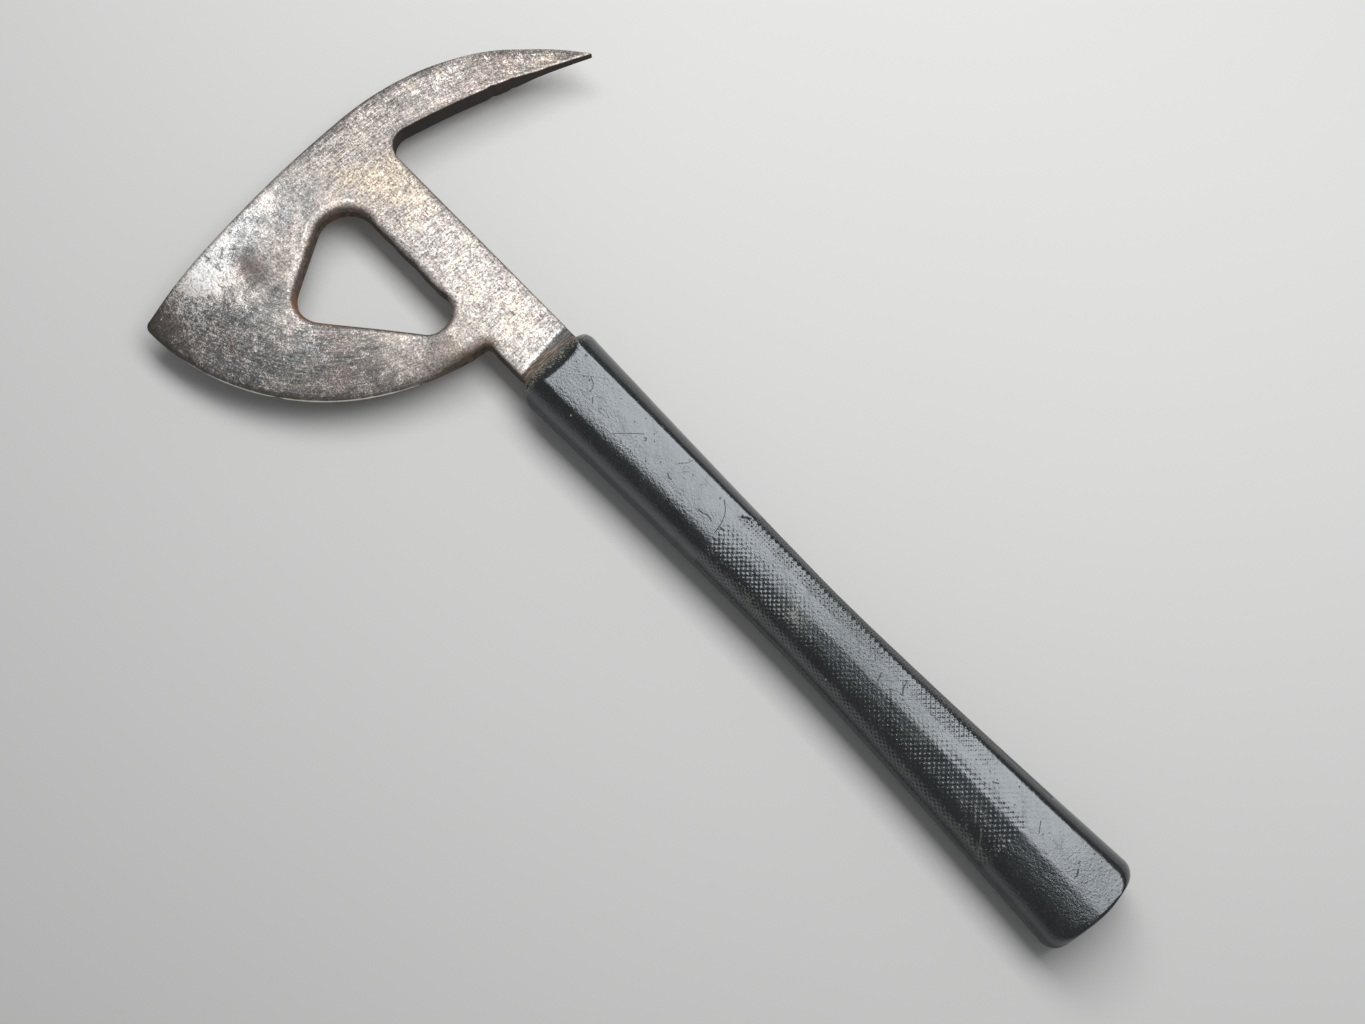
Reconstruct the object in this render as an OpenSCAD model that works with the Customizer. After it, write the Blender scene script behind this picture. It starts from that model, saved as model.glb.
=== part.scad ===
// Escape axe: a one-piece steel forging with an axe blade, a curved pick and a flat shank,
// and a hard rubber grip moulded over the forging's tang.
// The axe lies flat. The origin is on the grip's flat underside, in the middle of its length,
// under the handle axis. +X runs to the butt, +Y to the pick, -Y to the blade.

/* [Steel] */
// Thickness of the shank and of the thick part of the head
steel_t = 9.5; // [8:0.5:12]
// Width of the flat shank
shank_w = 25.4; // [23:0.2:28]
// Bare shank between the heel of the blade and the mouth of the grip
heel_gap = 20.5; // [12:0.5:40]

/* [Back of the head] */
// Radius of the back on the pick's side
back_pick_r = 110; // [102:1:125]
// Radius of the back on the blade's side
back_blade_r = 480; // [350:10:700]
// Height over the handle axis at which the back's two curves meet
back_apex_y = 8.5; // [0:0.5:15]

/* [Blade] */
// Radius of the curved cutting edge
edge_r = 95; // [85:1:110]
// From the back of the head to the centre of the cutting edge's curve
edge_inset = 12; // [6:0.5:20]
// From the handle axis to that centre, on the blade's side
edge_drop = 6; // [2:0.5:14]
// Depth of the cheek's taper, measured in from the cutting edge
cheek_l = 29; // [22:1:34]
// Width of the ground bevel along the cutting edge
bevel_w = 1.4; // [0.8:0.1:3]
// Thickness of the cheek where the bevel starts
bevel_t = 1.8; // [1.2:0.1:3]
// Thickness of the worn cutting edge
edge_t = 0.4; // [0.2:0.1:1]
// Radius of the blade's lower corner
toe_r = 3; // [1:0.5:8]
// Depth below the handle axis to which the heel keeps the full thickness
heel_thick_y = 21; // [16:0.5:28]
// Length over which the heel thins down to the cutting edge
heel_fade = 24; // [15:1:30]
// Radius in the corner between the heel and the shank
heel_fillet_r = 2; // [1:0.5:4]

/* [Opening in the head] */
// Steel between the back of the head and the opening
back_band = 27; // [20:0.5:34]
// Steel between the heel of the blade and the opening
heel_band = 16.8; // [12:0.2:24]
// From the handle axis to the opening's straight side
opening_y = 11.9; // [10:0.1:14]
// Depth of the opening from its straight side to its point
opening_depth = 43.2; // [34:0.1:50]
// From the back of the head to the opening's point
opening_point_x = 50; // [42:0.5:60]
// Radius of the opening's corner by the back
opening_r = 12; // [8:0.5:13]
// Radius of the opening's point
opening_point_r = 10.5; // [7:0.5:13]
// Radius of the opening's corner by the heel
opening_heel_r = 8.5; // [6:0.5:10]

/* [Pick] */
// From the handle axis to the tip of the pick
pick_reach = 96.5; // [80:0.5:100]
// Width of the pick at its root
pick_root_w = 21.2; // [16:0.5:26]
// Height over the handle axis at which the pick starts to taper
pick_root_y = 27.5; // [25:0.5:34]
// Radius of the pick's hollow inner edge
pick_inner_r = 390; // [250:10:700]
// Thickness of the pick at its tip
pick_tip_t = 3.5; // [3:0.5:8]
// Width of the blunt end of the tip
pick_tip_w = 1; // [0.5:0.1:2]
// Radius in the crotch between the pick and the shank
crotch_r = 7.5; // [6:0.5:11]

/* [Neck and tang] */
// Bare neck between the end of the ground faces and the mouth of the grip
neck_l = 5; // [3:0.5:8]
// Thickness of the neck and of the tang
tang_t = 8; // [5:0.5:8]
// Depth of the full-width neck inside the grip
neck_in = 7; // [4:0.5:15]
// Width of the tang
tang_w = 18; // [12:0.5:21]
// Rubber left between the end of the tang and the butt
butt_cover = 29; // [15:1:60]
// Chamfer on the end of the tang
tang_chamfer = 4; // [1:0.5:5]
// Diameter of the keying holes that the rubber fills
key_d = 8; // [5:0.5:10]
// Number of keying holes
key_n = 3; // [2:1:4]
// Distance between keying holes
key_pitch = 70; // [40:1:75]
// From the mouth of the grip to the first keying hole
key_first = 45; // [25:1:50]
// Bond line between the tang and the rubber
bond = 0; // [0:0.01:0.1]

/* [Grip] */
// Length of the grip
grip_l = 277.4; // [250:0.2:320]
// Thickness of the grip between its two flat sides
grip_t = 28; // [24:0.5:32]
// Width near the mouth
grip_neck_w = 34.8; // [31:0.2:38]
// Width at the waist
grip_waist_w = 28.8; // [27:0.2:34]
// Width near the butt
grip_butt_w = 40.6; // [36:0.2:46]
// From the mouth to the waist
waist_x = 135; // [100:1:160]
// Width of the flat side at the mouth
flat_mouth_w = 19; // [14:0.2:20]
// Width of the flat side at the waist
flat_waist_w = 20; // [16:0.2:22]
// Width of the flat side near the butt
flat_butt_w = 27.2; // [20:0.2:30]
// Angle at which the round flanks set off from the flat sides
flank_start = 18; // [0:1:25]
// Length of the lip at the mouth
mouth_round = 6.7; // [4:0.1:9]
// How much the lip draws in the width, each side
mouth_draw_y = 3.2; // [1:0.1:3.5]
// How much the lip draws in the thickness, each side
mouth_draw_z = 8; // [4:0.5:9]
// Angle that the lip turns through before it meets the flat sides
lip_turn = 60; // [45:1:85]
// Radius of the butt's corners, seen from above
butt_round = 6; // [4:0.5:8]
// Radius of the butt's bowed end, seen from above
butt_bow_r = 90; // [60:5:150]
// Radius of the edges between the flat sides and the butt's end
butt_edge = 1.2; // [0.6:0.2:3]

/* [Hidden] */

// Places along the handle axis, from the mouth of the grip
head_l = heel_gap + edge_r + edge_inset;
back_x = -head_l;
edge_c = [back_x + edge_inset, -edge_drop];
pick_back_c = [back_x + back_pick_r, back_apex_y];
blade_back_c = [back_x + back_blade_r, back_apex_y];

// The whole part's frame: the mouth lies half a grip behind the origin, at mid thickness
mouth_x = -grip_l / 2;
mid_z = grip_t / 2;

// Room that a cutting or clipping shape runs past what it cuts
past = 2;
// Overlap that keeps a straight edge from merely grazing a round one
graze = 0.02;

// Where two circles cross, on the left of the way from the first centre to the second
function meet(c1, r1, c2, r2) =
    let (
        d = norm(c2 - c1),
        u = (c2 - c1) / d,
        along = (d * d + r1 * r1 - r2 * r2) / (2 * d),
        across = sqrt(r1 * r1 - along * along)
    )
    c1 + along * u + across * [-u.y, u.x];

// Centre of a circle of radius r through two points, on the right of the way from p to q
function centre_through(p, q, r) =
    let (d = norm(q - p), u = (q - p) / d)
    (p + q) / 2 + sqrt(r * r - d * d / 4) * [u.y, -u.x];

// Ends of the straight line that runs along the right side of two circles, from the first to the second
function tangent_line(c1, r1, c2, r2) =
    let (
        d = norm(c2 - c1),
        a = atan2((c2 - c1).y, (c2 - c1).x) - acos((r1 - r2) / d),
        n = [cos(a), sin(a)]
    )
    [c1 + (r1 - graze) * n, c2 + (r2 - graze) * n];

// Pick: the tip on the back's curve, and the hollow inner edge
pick_tip = [pick_back_c.x - sqrt(pow(back_pick_r, 2) - pow(pick_reach - back_apex_y, 2)), pick_reach];
pick_root = [back_x + pick_root_w, pick_root_y];
pick_inner_c = centre_through(pick_root, pick_tip + [pick_tip_w, 0], pick_inner_r);
// Crotch: a circle inside the inner edge's curve that rests on the shank
crotch_y = shank_w / 2 + crotch_r;
crotch_c = [
    pick_inner_c.x - sqrt(pow(pick_inner_r - crotch_r, 2) - pow(crotch_y - pick_inner_c.y, 2)),
    crotch_y
];
crotch_dir = (crotch_c - pick_inner_c) / norm(crotch_c - pick_inner_c);

// Corner of the blade at the back, rounded inside both curves
toe_c = meet(blade_back_c, back_blade_r - toe_r, edge_c, edge_r - toe_r);
toe_back_dir = (toe_c - blade_back_c) / norm(toe_c - blade_back_c);
toe_edge_dir = (toe_c - edge_c) / norm(toe_c - edge_c);

// Corner between the heel and the shank, rounded outside the cutting edge's curve
heel_y = -shank_w / 2 - heel_fillet_r;
heel_fillet_c = [edge_c.x + sqrt(pow(edge_r + heel_fillet_r, 2) - pow(heel_y - edge_c.y, 2)), heel_y];
heel_dir = (heel_fillet_c - edge_c) / norm(heel_fillet_c - edge_c);

// Corners of the opening: by the back, at the point and by the heel
opening_c = [
    [back_x + back_band + opening_r, -opening_y - opening_r],
    [back_x + opening_point_x, -opening_y - opening_depth + opening_point_r],
    [-heel_gap - heel_band - opening_heel_r, -opening_y - opening_heel_r]
];
opening_rs = [opening_r, opening_point_r, opening_heel_r];

tang_end = grip_l - butt_cover;

// Butt seen from above: a corner arc that runs on into the bowed end, and where the two touch
corner_y = grip_butt_w / 2 - butt_round;
bow_x = grip_l - butt_bow_r;
corner_x = bow_x + sqrt(pow(butt_bow_r - butt_round, 2) - pow(corner_y, 2));
touch_share = butt_bow_r / (butt_bow_r - butt_round);
touch_x = bow_x + touch_share * (corner_x - bow_x);
touch_y = touch_share * corner_y;
// Half width that stays flat in the middle of the bowed end
bow_flat = 3;

// Everything inside the back's two curves
module back_plan() {
    reach = head_l + past;
    intersection() {
        translate(pick_back_c) circle(r = back_pick_r, $fn = 360);
        translate([back_x - past, back_apex_y]) square([reach, back_pick_r]);
    }
    intersection() {
        translate(blade_back_c) circle(r = back_blade_r, $fn = 1440);
        translate([back_x - past, back_apex_y - 2 * edge_r]) square([reach, 2 * edge_r]);
    }
}

module blade_plan() {
    intersection() {
        translate(edge_c) circle(r = edge_r, $fn = 360);
        translate([back_x, -edge_drop - edge_r - past]) square([head_l, edge_drop + edge_r + past]);
    }
}

module pick_plan() {
    difference() {
        translate([back_x, 0]) square([pick_tip.x + pick_tip_w - back_x, pick_reach]);
        translate(pick_inner_c) circle(r = pick_inner_r, $fn = 1440);
    }
}

module shank_plan() {
    translate([back_x, -shank_w / 2]) square([head_l - neck_l, shank_w]);
}

// Steel that fills the crotch up to its rounded corner
module crotch_plan() {
    difference() {
        polygon([
            crotch_c + 2 * crotch_r * crotch_dir,
            crotch_c,
            crotch_c - [0, crotch_r + past],
            [crotch_c.x - 2 * crotch_r, shank_w / 2 - past]
        ]);
        translate(crotch_c) circle(r = crotch_r + graze, $fn = 96);
    }
}

// Steel that fills the corner between the heel and the shank
module heel_plan() {
    difference() {
        polygon([
            heel_fillet_c - (heel_fillet_r + past) * heel_dir,
            heel_fillet_c,
            heel_fillet_c + [0, heel_fillet_r + past],
            heel_fillet_c - (heel_fillet_r + past) * heel_dir + [0, heel_fillet_r + past]
        ]);
        translate(heel_fillet_c) circle(r = heel_fillet_r + graze, $fn = 48);
    }
}

// What rounding takes off the blade's corner
module toe_cut() {
    difference() {
        polygon([
            toe_c + (toe_r + past) * toe_back_dir,
            toe_c,
            toe_c + (toe_r + past) * toe_edge_dir,
            toe_c + (2 * toe_r + past) * (toe_back_dir + toe_edge_dir)
        ]);
        translate(toe_c) circle(r = toe_r + graze, $fn = 48);
    }
}

module opening_plan() {
    for (i = [0:2]) translate(opening_c[i]) circle(r = opening_rs[i], $fn = 96);
    polygon([for (i = [0:2]) each tangent_line(
        opening_c[i], opening_rs[i], opening_c[(i + 1) % 3], opening_rs[(i + 1) % 3])]);
}

// Outline of the head and the shank, seen from above
module head_plan() {
    difference() {
        intersection() {
            back_plan();
            union() {
                blade_plan();
                pick_plan();
                shank_plan();
                crotch_plan();
                heel_plan();
            }
        }
        opening_plan();
        toe_cut();
    }
}

// Half the cheek's thickness at a distance in from the cutting edge: a gently crowned taper
function cheek_half(d) = bevel_t / 2
    + (steel_t - bevel_t) / 2 * sin(90 * min(1, (d - bevel_w) / (cheek_l - bevel_w)));

// Blade's cross-section turned about the centre of the cutting edge: crowned cheeks and ground bevels
module blade_cheeks() {
    steps = 6;
    upper = [
        [0, steel_t / 2],
        for (i = [0:steps]) let (d = cheek_l + (bevel_w - cheek_l) * i / steps) [edge_r - d, cheek_half(d)],
        [edge_r, edge_t / 2],
        [edge_r + past, edge_t / 2]
    ];
    lower = [for (i = [len(upper) - 1:-1:0]) [upper[i].x, -upper[i].y]];
    translate(edge_c) rotate_extrude($fn = 360) polygon(concat(upper, lower));
}

// Side of the head seen along the handle: full thickness at the shank, thinning over the heel
// on the blade's side and along the pick on the other
module head_side() {
    heel_end = -heel_thick_y - heel_fade;
    upper = [
        [heel_end, edge_t / 2],
        [-heel_thick_y, steel_t / 2],
        [pick_root_y, steel_t / 2],
        [pick_reach + past, pick_tip_t / 2]
    ];
    lower = [for (i = [len(upper) - 1:-1:0]) [upper[i].x, -upper[i].y]];
    translate([back_x - past, 0, 0]) rotate([90, 0, 90]) linear_extrude(height = head_l + 2 * past)
        polygon(concat(upper, lower));
}

// Steel inside the grip, grown by a gap: the full-width neck and the tang with its keying holes
module tang(gap) {
    neck_start = -neck_l - past;
    difference() {
        union() {
            translate([neck_start, -shank_w / 2 - gap, -tang_t / 2 - gap])
                cube([neck_in - neck_start + gap, shank_w + 2 * gap, tang_t + 2 * gap]);
            translate([0, 0, -tang_t / 2 - gap]) linear_extrude(height = tang_t + 2 * gap) polygon([
                [0, -tang_w / 2 - gap],
                [tang_end - tang_chamfer, -tang_w / 2 - gap],
                [tang_end + gap, -tang_w / 2 + tang_chamfer],
                [tang_end + gap, tang_w / 2 - tang_chamfer],
                [tang_end - tang_chamfer, tang_w / 2 + gap],
                [0, tang_w / 2 + gap]
            ]);
        }
        for (i = [0:key_n - 1]) translate([key_first + i * key_pitch, 0, 0])
            cylinder(d = key_d - 2 * gap, h = tang_t + 2 * past, center = true, $fn = 48);
    }
}

// Value at a place along the grip: the waist's, flaring to the mouth's one way and the butt's the other
function along(x, mouth_v, waist_v, butt_v) =
    let (
        end_v = x < waist_x ? mouth_v : butt_v,
        u = x < waist_x ? (waist_x - max(x, mouth_round)) / (waist_x - mouth_round)
            : (min(x, corner_x) - waist_x) / (corner_x - waist_x)
    )
    waist_v + (end_v - waist_v) * pow(u, 1.4);

function grip_half_w(x) = along(x, grip_neck_w, grip_waist_w, grip_butt_w) / 2;

function flat_half_w(x) = along(x, flat_mouth_w, flat_waist_w, flat_butt_w) / 2;

// Half width of the butt past the start of its corner arcs
function butt_half_w(x) = x < touch_x ? corner_y + sqrt(pow(butt_round, 2) - pow(x - corner_x, 2))
    : max(bow_flat, sqrt(max(0, pow(butt_bow_r, 2) - pow(x - bow_x, 2))));

// Share of a rounding's draw that is left at a distance in from the end, on an arc through an angle
function draw_left(d, round_l, turn) =
    d >= round_l ? 0 : 1 - sin(acos(1 - d / round_l * (1 - cos(turn)))) / sin(turn);

// One cross-section of the grip: flat above and below, with round flanks between
function grip_ring(x) =
    let (
        mouth = draw_left(x, mouth_round, lip_turn),
        edge = draw_left(grip_l - x, butt_edge, 90),
        a = x > corner_x ? butt_half_w(x) : grip_half_w(x) - mouth_draw_y * mouth,
        b = grip_t / 2 - mouth_draw_z * mouth - butt_edge * edge,
        f = flat_half_w(x) * a / grip_half_w(x),
        side_n = 10,
        s0 = sin(flank_start),
        quarter = [
            for (i = [0:side_n]) let (t = flank_start + (90 - flank_start) * i / side_n)
                [f + (a - f) * (sin(t) - s0) / (1 - s0), b * cos(t) / cos(flank_start)]
        ],
        turned = [for (i = [side_n - 1:-1:0]) [quarter[i].x, -quarter[i].y]],
        right = concat(quarter, turned)
    )
    concat([for (p = right) [x, p.x, p.y]], [for (i = [len(right) - 1:-1:0]) [x, -right[i].x, right[i].y]]);

// Solid through a row of rings, closed at both ends
module loft(rings) {
    n = len(rings[0]);
    m = len(rings);
    polyhedron(
        points = [for (ring = rings) each ring],
        faces = [
            [for (i = [n - 1:-1:0]) i],
            for (k = [0:m - 2], i = [0:n - 1]) let (j = (i + 1) % n) each [
                [k * n + i, k * n + j, (k + 1) * n + j],
                [k * n + i, (k + 1) * n + j, (k + 1) * n + i]
            ],
            [for (i = [0:n - 1]) (m - 1) * n + i]
        ]
    );
}

module grip_body() {
    end_steps = 6;
    mid_steps = 22;
    bow_steps = 4;
    mid_l = corner_x - mouth_round;
    turn = asin((touch_x - corner_x) / butt_round);
    xs = [
        for (i = [0:end_steps - 1]) mouth_round * (1 - cos(90 * i / end_steps)),
        for (i = [0:mid_steps]) mouth_round + mid_l * i / mid_steps,
        for (i = [1:end_steps]) corner_x + butt_round * sin(turn * i / end_steps),
        for (i = [1:bow_steps]) bow_x + sqrt(pow(butt_bow_r, 2) - pow(touch_y * (1 - i / bow_steps), 2))
    ];
    loft([for (x = xs) grip_ring(x)]);
}

module axe_forging() {
    color("#8f8983") translate([mouth_x, 0, mid_z]) {
        intersection() {
            linear_extrude(height = steel_t + 2 * past, center = true) head_plan();
            union() {
                blade_cheeks();
                head_side();
            }
        }
        tang(0);
    }
}

module rubber_grip() {
    color("#1f2022") translate([mouth_x, 0, mid_z]) difference() {
        grip_body();
        tang(bond);
    }
}

axe_forging();
rubber_grip();
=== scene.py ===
"""Looks of the escape axe: a worn and patinated steel forging in a chequered hard rubber grip.

Sizes are in millimetres in the axe's own frame: x runs from the mouth of the grip to the butt, y from
the handle axis to the pick and z up from the middle of the thickness. Meshes are turned to metres last.
"""

import math
from types import SimpleNamespace

import bmesh
import bpy
import numpy as np
from mathutils import Matrix, Vector
from mathutils.geometry import delaunay_2d_cdt


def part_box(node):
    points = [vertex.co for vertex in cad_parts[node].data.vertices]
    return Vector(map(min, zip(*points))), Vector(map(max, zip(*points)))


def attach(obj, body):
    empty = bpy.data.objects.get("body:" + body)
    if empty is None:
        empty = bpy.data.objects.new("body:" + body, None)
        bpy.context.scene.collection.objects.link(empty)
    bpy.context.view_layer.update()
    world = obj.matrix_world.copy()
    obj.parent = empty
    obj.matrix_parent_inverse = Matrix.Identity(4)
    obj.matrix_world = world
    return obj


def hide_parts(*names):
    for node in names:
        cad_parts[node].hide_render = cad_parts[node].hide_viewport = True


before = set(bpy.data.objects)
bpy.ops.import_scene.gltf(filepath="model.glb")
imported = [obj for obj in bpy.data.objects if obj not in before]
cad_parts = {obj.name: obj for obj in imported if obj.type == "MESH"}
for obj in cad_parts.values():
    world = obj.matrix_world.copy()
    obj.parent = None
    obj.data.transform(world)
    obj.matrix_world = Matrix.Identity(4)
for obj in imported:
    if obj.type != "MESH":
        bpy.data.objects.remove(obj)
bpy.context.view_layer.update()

# The frame: where the mouth of the grip and the middle of the thickness lie, and the driving sizes
MM = 0.001
grip_low, grip_high = (np.array(corner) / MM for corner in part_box("rubber_grip"))
steel_low, steel_high = (np.array(corner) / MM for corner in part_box("axe_forging"))
MOUTH = np.array([grip_low[0], 0.0, (grip_low[2] + grip_high[2]) / 2])
GRIP_L = grip_high[0] - grip_low[0]
GRIP_T = grip_high[2] - grip_low[2]
GRIP_BUTT_W = grip_high[1] - grip_low[1]
STEEL_T = steel_high[2] - steel_low[2]
BACK_X = steel_low[0] - MOUTH[0]
PICK_REACH = steel_high[1]
TANG_END = steel_high[0] - MOUTH[0]
EDGE_DROP = 6.0
EDGE_R = -steel_low[1] - EDGE_DROP

# Head and shank
SHANK_W = 25.4
EDGE_INSET = 12.0
BACK_PICK_R = 110.0
BACK_BLADE_R = 480.0
BACK_APEX_Y = 8.5
CHEEK_L = 29.0
BEVEL_W = 1.4
BEVEL_T = 1.8
EDGE_T = 0.4
TOE_R = 3.0
HEEL_THICK_Y = 21.0
HEEL_FADE = 24.0
HEEL_FILLET_R = 2.0
PICK_ROOT_W = 21.2
PICK_ROOT_Y = 27.5
PICK_INNER_R = 390.0
PICK_TIP_T = 3.5
PICK_TIP_W = 1.0
CROTCH_R = 7.5

# Opening in the head
BACK_BAND = 27.0
HEEL_END_X = -37.3
OPENING_Y = 11.9
OPENING_DEPTH = 43.2
OPENING_POINT_X = 50.0
OPENING_R = 12.0
OPENING_POINT_R = 10.5
OPENING_HEEL_R = 8.5

# Neck and tang
NECK_IN = 7.0
TANG_T = 8.0
TANG_W = 18.0
TANG_CHAMFER = 4.0
KEY_D = 8.0
KEY_PLACES = (45.0, 115.0, 185.0)
CLEARANCE = 0.03
# The ground faces of the shank end on a slanting line: its place on the axis, its slant and its width
GROUND_END_X = -4.7
GROUND_SLANT = -0.13
GROUND_FADE = 0.7

# Grip
GRIP_NECK_W = 34.8
GRIP_WAIST_W = 28.8
WAIST_X = 135.0
FLARE = 1.4
FLAT_MOUTH_W = 19.0
FLAT_WAIST_W = 20.0
FLAT_BUTT_W = 27.2
FLANK_START = math.radians(18)
LIP_L = 6.7
LIP_DRAW_Y = 3.2
LIP_DRAW_Z = 8.0
LIP_TURN = math.radians(60)
# The lip's crease on top bulges towards the butt and falls back at its corners
LIP_BULGE = 1.1
LIP_FALL = 3.0
# How much coarser the lip's skin is than the smooth top
LIP_COARSE = 2.5
BUTT_ROUND = 6.0
BUTT_BOW_R = 90.0
BUTT_EDGE = 1.2
BUTT_DISH = 0.01
BOW_FLAT = 3.0
CAP_ROWS = 7
FLANK_SAMPLES = 70
FLAT_SAMPLES = 50

# How the flat top changes along the grip, as places and values there: where its crest lies, how far its
# two halves fall away from the crest, how sharply the blade's half does, and how far its edges are rounded
CREST = ((10, 50, 130, 190, 240, 271), (0.0, -0.8, -0.6, -0.6, -0.8, -2.2))
PICK_CROWN = ((8, 50, 150, 271), (0.0, 0.15, 0.3, 0.3))
BLADE_CROWN = ((8, 30, 50, 90, 110, 150, 271), (0.0, 0.2, 0.7, 0.9, 1.05, 1.6, 2.2))
BLADE_POWER = ((50, 88, 104, 125, 150, 200, 271), (4.0, 4.0, 2.0, 1.5, 1.1, 1.2, 1.4))
UNDER_CROWN = 0.4
PICK_ROUNDING = ((0, 10, 60, 271), (0.3, 0.3, 0.5, 0.7))
BLADE_ROUNDING = ((0, 12, 50, 271), (0.3, 0.3, 1.8, 2.2))

# Chequering: where it starts and ends, diamonds around the grip, samples along each one, and its depth
CHEQUER_START = 91.5
CHEQUER_END = 239.5
CHEQUER_PITCH = 2.25
DIAMONDS = 43
FINE = 4
GROOVE = 0.50

# Mesh spacing on the head and in the hidden tang, rows of points in from the edges, and rows on the walls
STEP = 0.8
HIDDEN_STEP = 3.0
HIDDEN_FROM = 2.0
INSETS = (0.1, 0.28, 0.55, 0.95, 1.4)
WALL_ROWS = 8

# Noise: its repeating lattice of random numbers
LATTICE = 32
lattice = np.random.default_rng(27).random((LATTICE, LATTICE, LATTICE))


def noise(points, size, seed=0):
    """Smooth value noise from -1 to 1 at places in mm, with features of about that size."""
    seed_shift, off_origin = 7.31, 0.37
    p = points / size + seed_shift * seed + off_origin
    cell = np.floor(p).astype(int)
    share = p - cell
    share = share * share * (3 - 2 * share)
    total = np.zeros(len(p))
    for corner in np.ndindex(2, 2, 2):
        weight = np.ones(len(p))
        for axis in range(3):
            weight *= share[:, axis] if corner[axis] else 1 - share[:, axis]
        i, j, k = ((cell[:, axis] + corner[axis]) % LATTICE for axis in range(3))
        total += weight * lattice[i, j, k]
    return 2 * total - 1


def fractal(points, size, seed=0):
    """Noise with two finer and weaker layers on it, about -1 to 1."""
    layers = [noise(points, size / 2 ** i, seed + i) / 2 ** i for i in range(3)]
    return sum(layers) / 1.6


def rise(value, low, high):
    """0 below low, 1 above high and smooth between."""
    t = np.clip((value - low) / (high - low), 0, 1)
    return t * t * (3 - 2 * t)


def fall(value, low, high):
    """1 below low, 0 above high and smooth between."""
    return 1 - rise(value, low, high)


def peak(value, width):
    """1 where a value is 0, fading over a width to both sides."""
    return np.exp(-(value / width) ** 2)


def dabs(values, points, *spots):
    """Moves values towards each spot's target around its place, fading over its sizes along x and y."""
    for target, at, size, strength in spots:
        off = (points[:, :2] - at) / size
        weight = strength * np.exp(-(off ** 2).sum(1))
        values = values + (target - values) * weight
    return values


def meet(c1, r1, c2, r2):
    """Where two circles cross, on the left of the way from the first centre to the second."""
    gap = np.linalg.norm(c2 - c1)
    u = (c2 - c1) / gap
    along = (gap * gap + r1 * r1 - r2 * r2) / (2 * gap)
    across = math.sqrt(r1 * r1 - along * along)
    return c1 + along * u + across * np.array([-u[1], u[0]])


def centre_through(p, q, radius):
    """Centre of a circle through two points, on the right of the way from p to q."""
    gap = np.linalg.norm(q - p)
    u = (q - p) / gap
    return (p + q) / 2 + math.sqrt(radius * radius - gap * gap / 4) * np.array([u[1], -u[0]])


def angle_of(direction, below=math.inf, above=-math.inf):
    """Angle of a direction, turned by whole turns to lie between two bounds."""
    angle = math.atan2(direction[1], direction[0])
    while angle > below:
        angle -= 2 * math.pi
    while angle < above:
        angle += 2 * math.pi
    return angle


def arc(centre, radius, start, stop, step=STEP):
    """Points from the start angle up to, not at, the stop angle."""
    n = max(2, math.ceil(abs(stop - start) * radius / step))
    turn = start + (stop - start) * np.arange(n) / n
    return centre + radius * np.column_stack([np.cos(turn), np.sin(turn)])


def line(p, q, step=STEP):
    """Points from p up to, not at, q."""
    p, q = np.array(p, float), np.array(q, float)
    n = max(1, math.ceil(np.linalg.norm(q - p) / step))
    return p + (q - p) * np.arange(n)[:, None] / n


def rail(*places):
    """Points along hidden straight stretches through places, up to, not at, the last one."""
    return np.vstack([line(a, b, HIDDEN_STEP) for a, b in zip(places, places[1:])])


# Places on the head's outline
edge_c = np.array([BACK_X + EDGE_INSET, -EDGE_DROP])
pick_back_c = np.array([BACK_X + BACK_PICK_R, BACK_APEX_Y])
blade_back_c = np.array([BACK_X + BACK_BLADE_R, BACK_APEX_Y])
tip_rise = PICK_REACH - BACK_APEX_Y
pick_tip = np.array([pick_back_c[0] - math.sqrt(BACK_PICK_R ** 2 - tip_rise ** 2), PICK_REACH])
tip_corner = pick_tip + [PICK_TIP_W, 0]
pick_inner_c = centre_through(np.array([BACK_X + PICK_ROOT_W, PICK_ROOT_Y]), tip_corner, PICK_INNER_R)
crotch_y = SHANK_W / 2 + CROTCH_R
crotch_reach = math.sqrt((PICK_INNER_R - CROTCH_R) ** 2 - (crotch_y - pick_inner_c[1]) ** 2)
crotch_c = np.array([pick_inner_c[0] - crotch_reach, crotch_y])
toe_c = meet(blade_back_c, BACK_BLADE_R - TOE_R, edge_c, EDGE_R - TOE_R)
heel_y = -SHANK_W / 2 - HEEL_FILLET_R
heel_reach = math.sqrt((EDGE_R + HEEL_FILLET_R) ** 2 - (heel_y - edge_c[1]) ** 2)
heel_c = np.array([edge_c[0] + heel_reach, heel_y])
OPENING = (
    (np.array([BACK_X + BACK_BAND + OPENING_R, -OPENING_Y - OPENING_R]), OPENING_R),
    (np.array([BACK_X + OPENING_POINT_X, -OPENING_Y - OPENING_DEPTH + OPENING_POINT_R]), OPENING_POINT_R),
    (np.array([HEEL_END_X - OPENING_HEEL_R, -OPENING_Y - OPENING_HEEL_R]), OPENING_HEEL_R),
)

# How each stretch of edge is rounded: its corner radius, and the width and the drop of the soft shoulder
EDGE_FINISH = {
    "tang": (0.0, 1.0, 0.0),
    "shank": (0.6, 3.2, 0.35),
    "crotch": (0.5, 1.5, 0.1),
    "pick": (0.35, 1.0, 0.05),
    "back": (0.8, 2.0, 0.25),
    "cutting": (0.0, 1.0, 0.0),
    "heel": (1.2, 6.0, 1.1),
    "opening_rim": (2.0, 3.6, 0.8),
    "opening_top": (0.6, 2.2, 0.3),
}


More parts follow.
